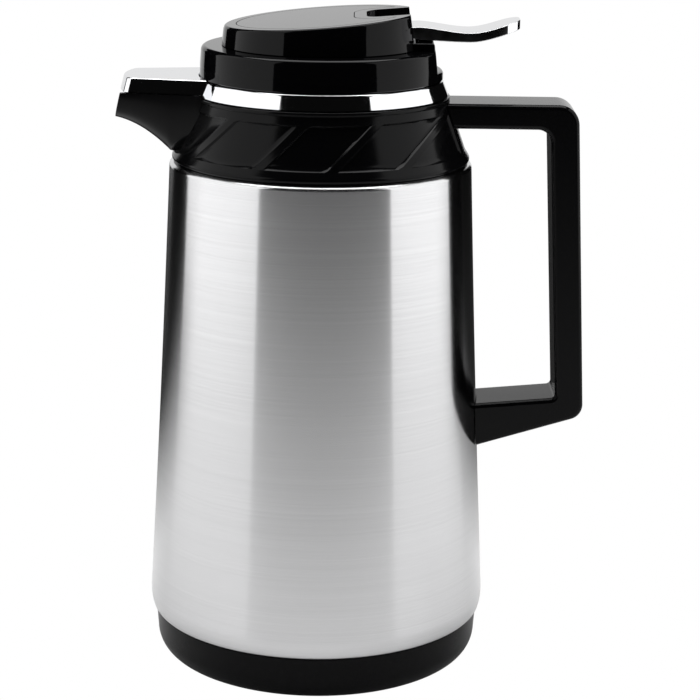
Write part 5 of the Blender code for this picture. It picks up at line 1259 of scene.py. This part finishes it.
def make_floor():
    """A white table that the jug mirrors, on a wide floor that is dark away from it; the camera
    sees both as plain white."""
    deselect()
    bpy.ops.mesh.primitive_plane_add(size=FLOOR_SIZE, location=(0, 0, -FLOOR_DROP))
    floor = bpy.context.object
    floor.name = "floor"
    made, tree, shader = new_material("studio_paper_white")
    place = own_place(tree)
    add_relief(tree, shader, noise(tree, place, 900.0, 2.0), 0.05, 0.0001)
    depth = node(tree, "ShaderNodeSeparateXYZ", {0: place}).outputs["Y"]
    behind = map_range(tree, depth, *TABLE_BACK, 1.0, 0.0)
    before = map_range(tree, depth, *TABLE_FRONT, 0.0, 1.0)
    table = node(tree, "ShaderNodeMath", {0: behind, 1: before}, operation="MULTIPLY")
    tint = node(tree, "ShaderNodeMix", {0: table.outputs[0]}, data_type="RGBA")
    tint.inputs[6].default_value = colour("141414")
    tint.inputs[7].default_value = colour("FAFAFA")
    tree.links.new(tint.outputs[2], shader.inputs["Base Color"])
    set_values(shader, {"Roughness": 0.7})
    add_glow(tree, shader, node(tree, "ShaderNodeLightPath").outputs["Is Camera Ray"], 1.0)
    floor.data.materials.append(made)


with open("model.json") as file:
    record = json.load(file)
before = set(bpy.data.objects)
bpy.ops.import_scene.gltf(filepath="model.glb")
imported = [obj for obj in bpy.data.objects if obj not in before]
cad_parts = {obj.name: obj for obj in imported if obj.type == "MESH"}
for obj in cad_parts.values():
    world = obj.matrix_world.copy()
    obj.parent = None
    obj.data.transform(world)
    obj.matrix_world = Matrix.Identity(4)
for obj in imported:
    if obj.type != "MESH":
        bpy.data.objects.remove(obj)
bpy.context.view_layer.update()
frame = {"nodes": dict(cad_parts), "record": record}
deselect()
nodes = frame["nodes"]
steel = brushed_stainless()
chrome = chrome_plate()
black = gloss_black()
satin = satin_black("polypropylene_black_satin", 0.26, 0.34, 0.10)
moulded = satin_black("polypropylene_black_half_gloss", 0.12, 0.17, 0.14)
plated = plated_steel()
finishes = {
    "shell_steel": steel, "chrome_plate": chrome, "gloss_black": black, "dull_black": dull_black(),
    "silicone": silicone(), "flask_glass": silvered_glass(), "screw_steel": plated,
}
for part in frame["record"]["subparts"]:
    mesh = nodes[part["node"]].data
    mesh.materials.clear()
    mesh.materials.append(finishes[part["material_slot"]])
dress(make_steel_shell(), steel, "jug", "shell_steel", "steel_shell")
dress(make_base_cap(), satin, "jug", "gloss_black", "base_cap")
for part in (make_shoulder(), make_spout()):
    dress(part, moulded, "jug", "gloss_black", "shoulder")
for part in (make_ring(), make_cover()):
    dress(part, chrome, "jug", "chrome_plate", "chrome_trim")
dress(make_handle(), moulded, "jug", "gloss_black", "handle")
for part in (make_lid_collar(), make_pin_ear(-1), make_pin_ear(1)):
    dress(part, black, "lid", "gloss_black", "lid_collar")
dress(make_lid_cap(), black, "lid", "gloss_black", "lid_cap")
dress(make_inlay(), black, "lid", "gloss_black", "lid_inlay")
dress(make_lever(), chrome, "thumb_lever", "chrome_plate", "lever")
spring = dress(make_spring(), plated, "lid", "screw_steel", "return_spring")
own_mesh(spring)
set_camera()
set_light()
make_backdrop()
make_floor()
bpy.context.scene.view_settings.view_transform = "Standard"
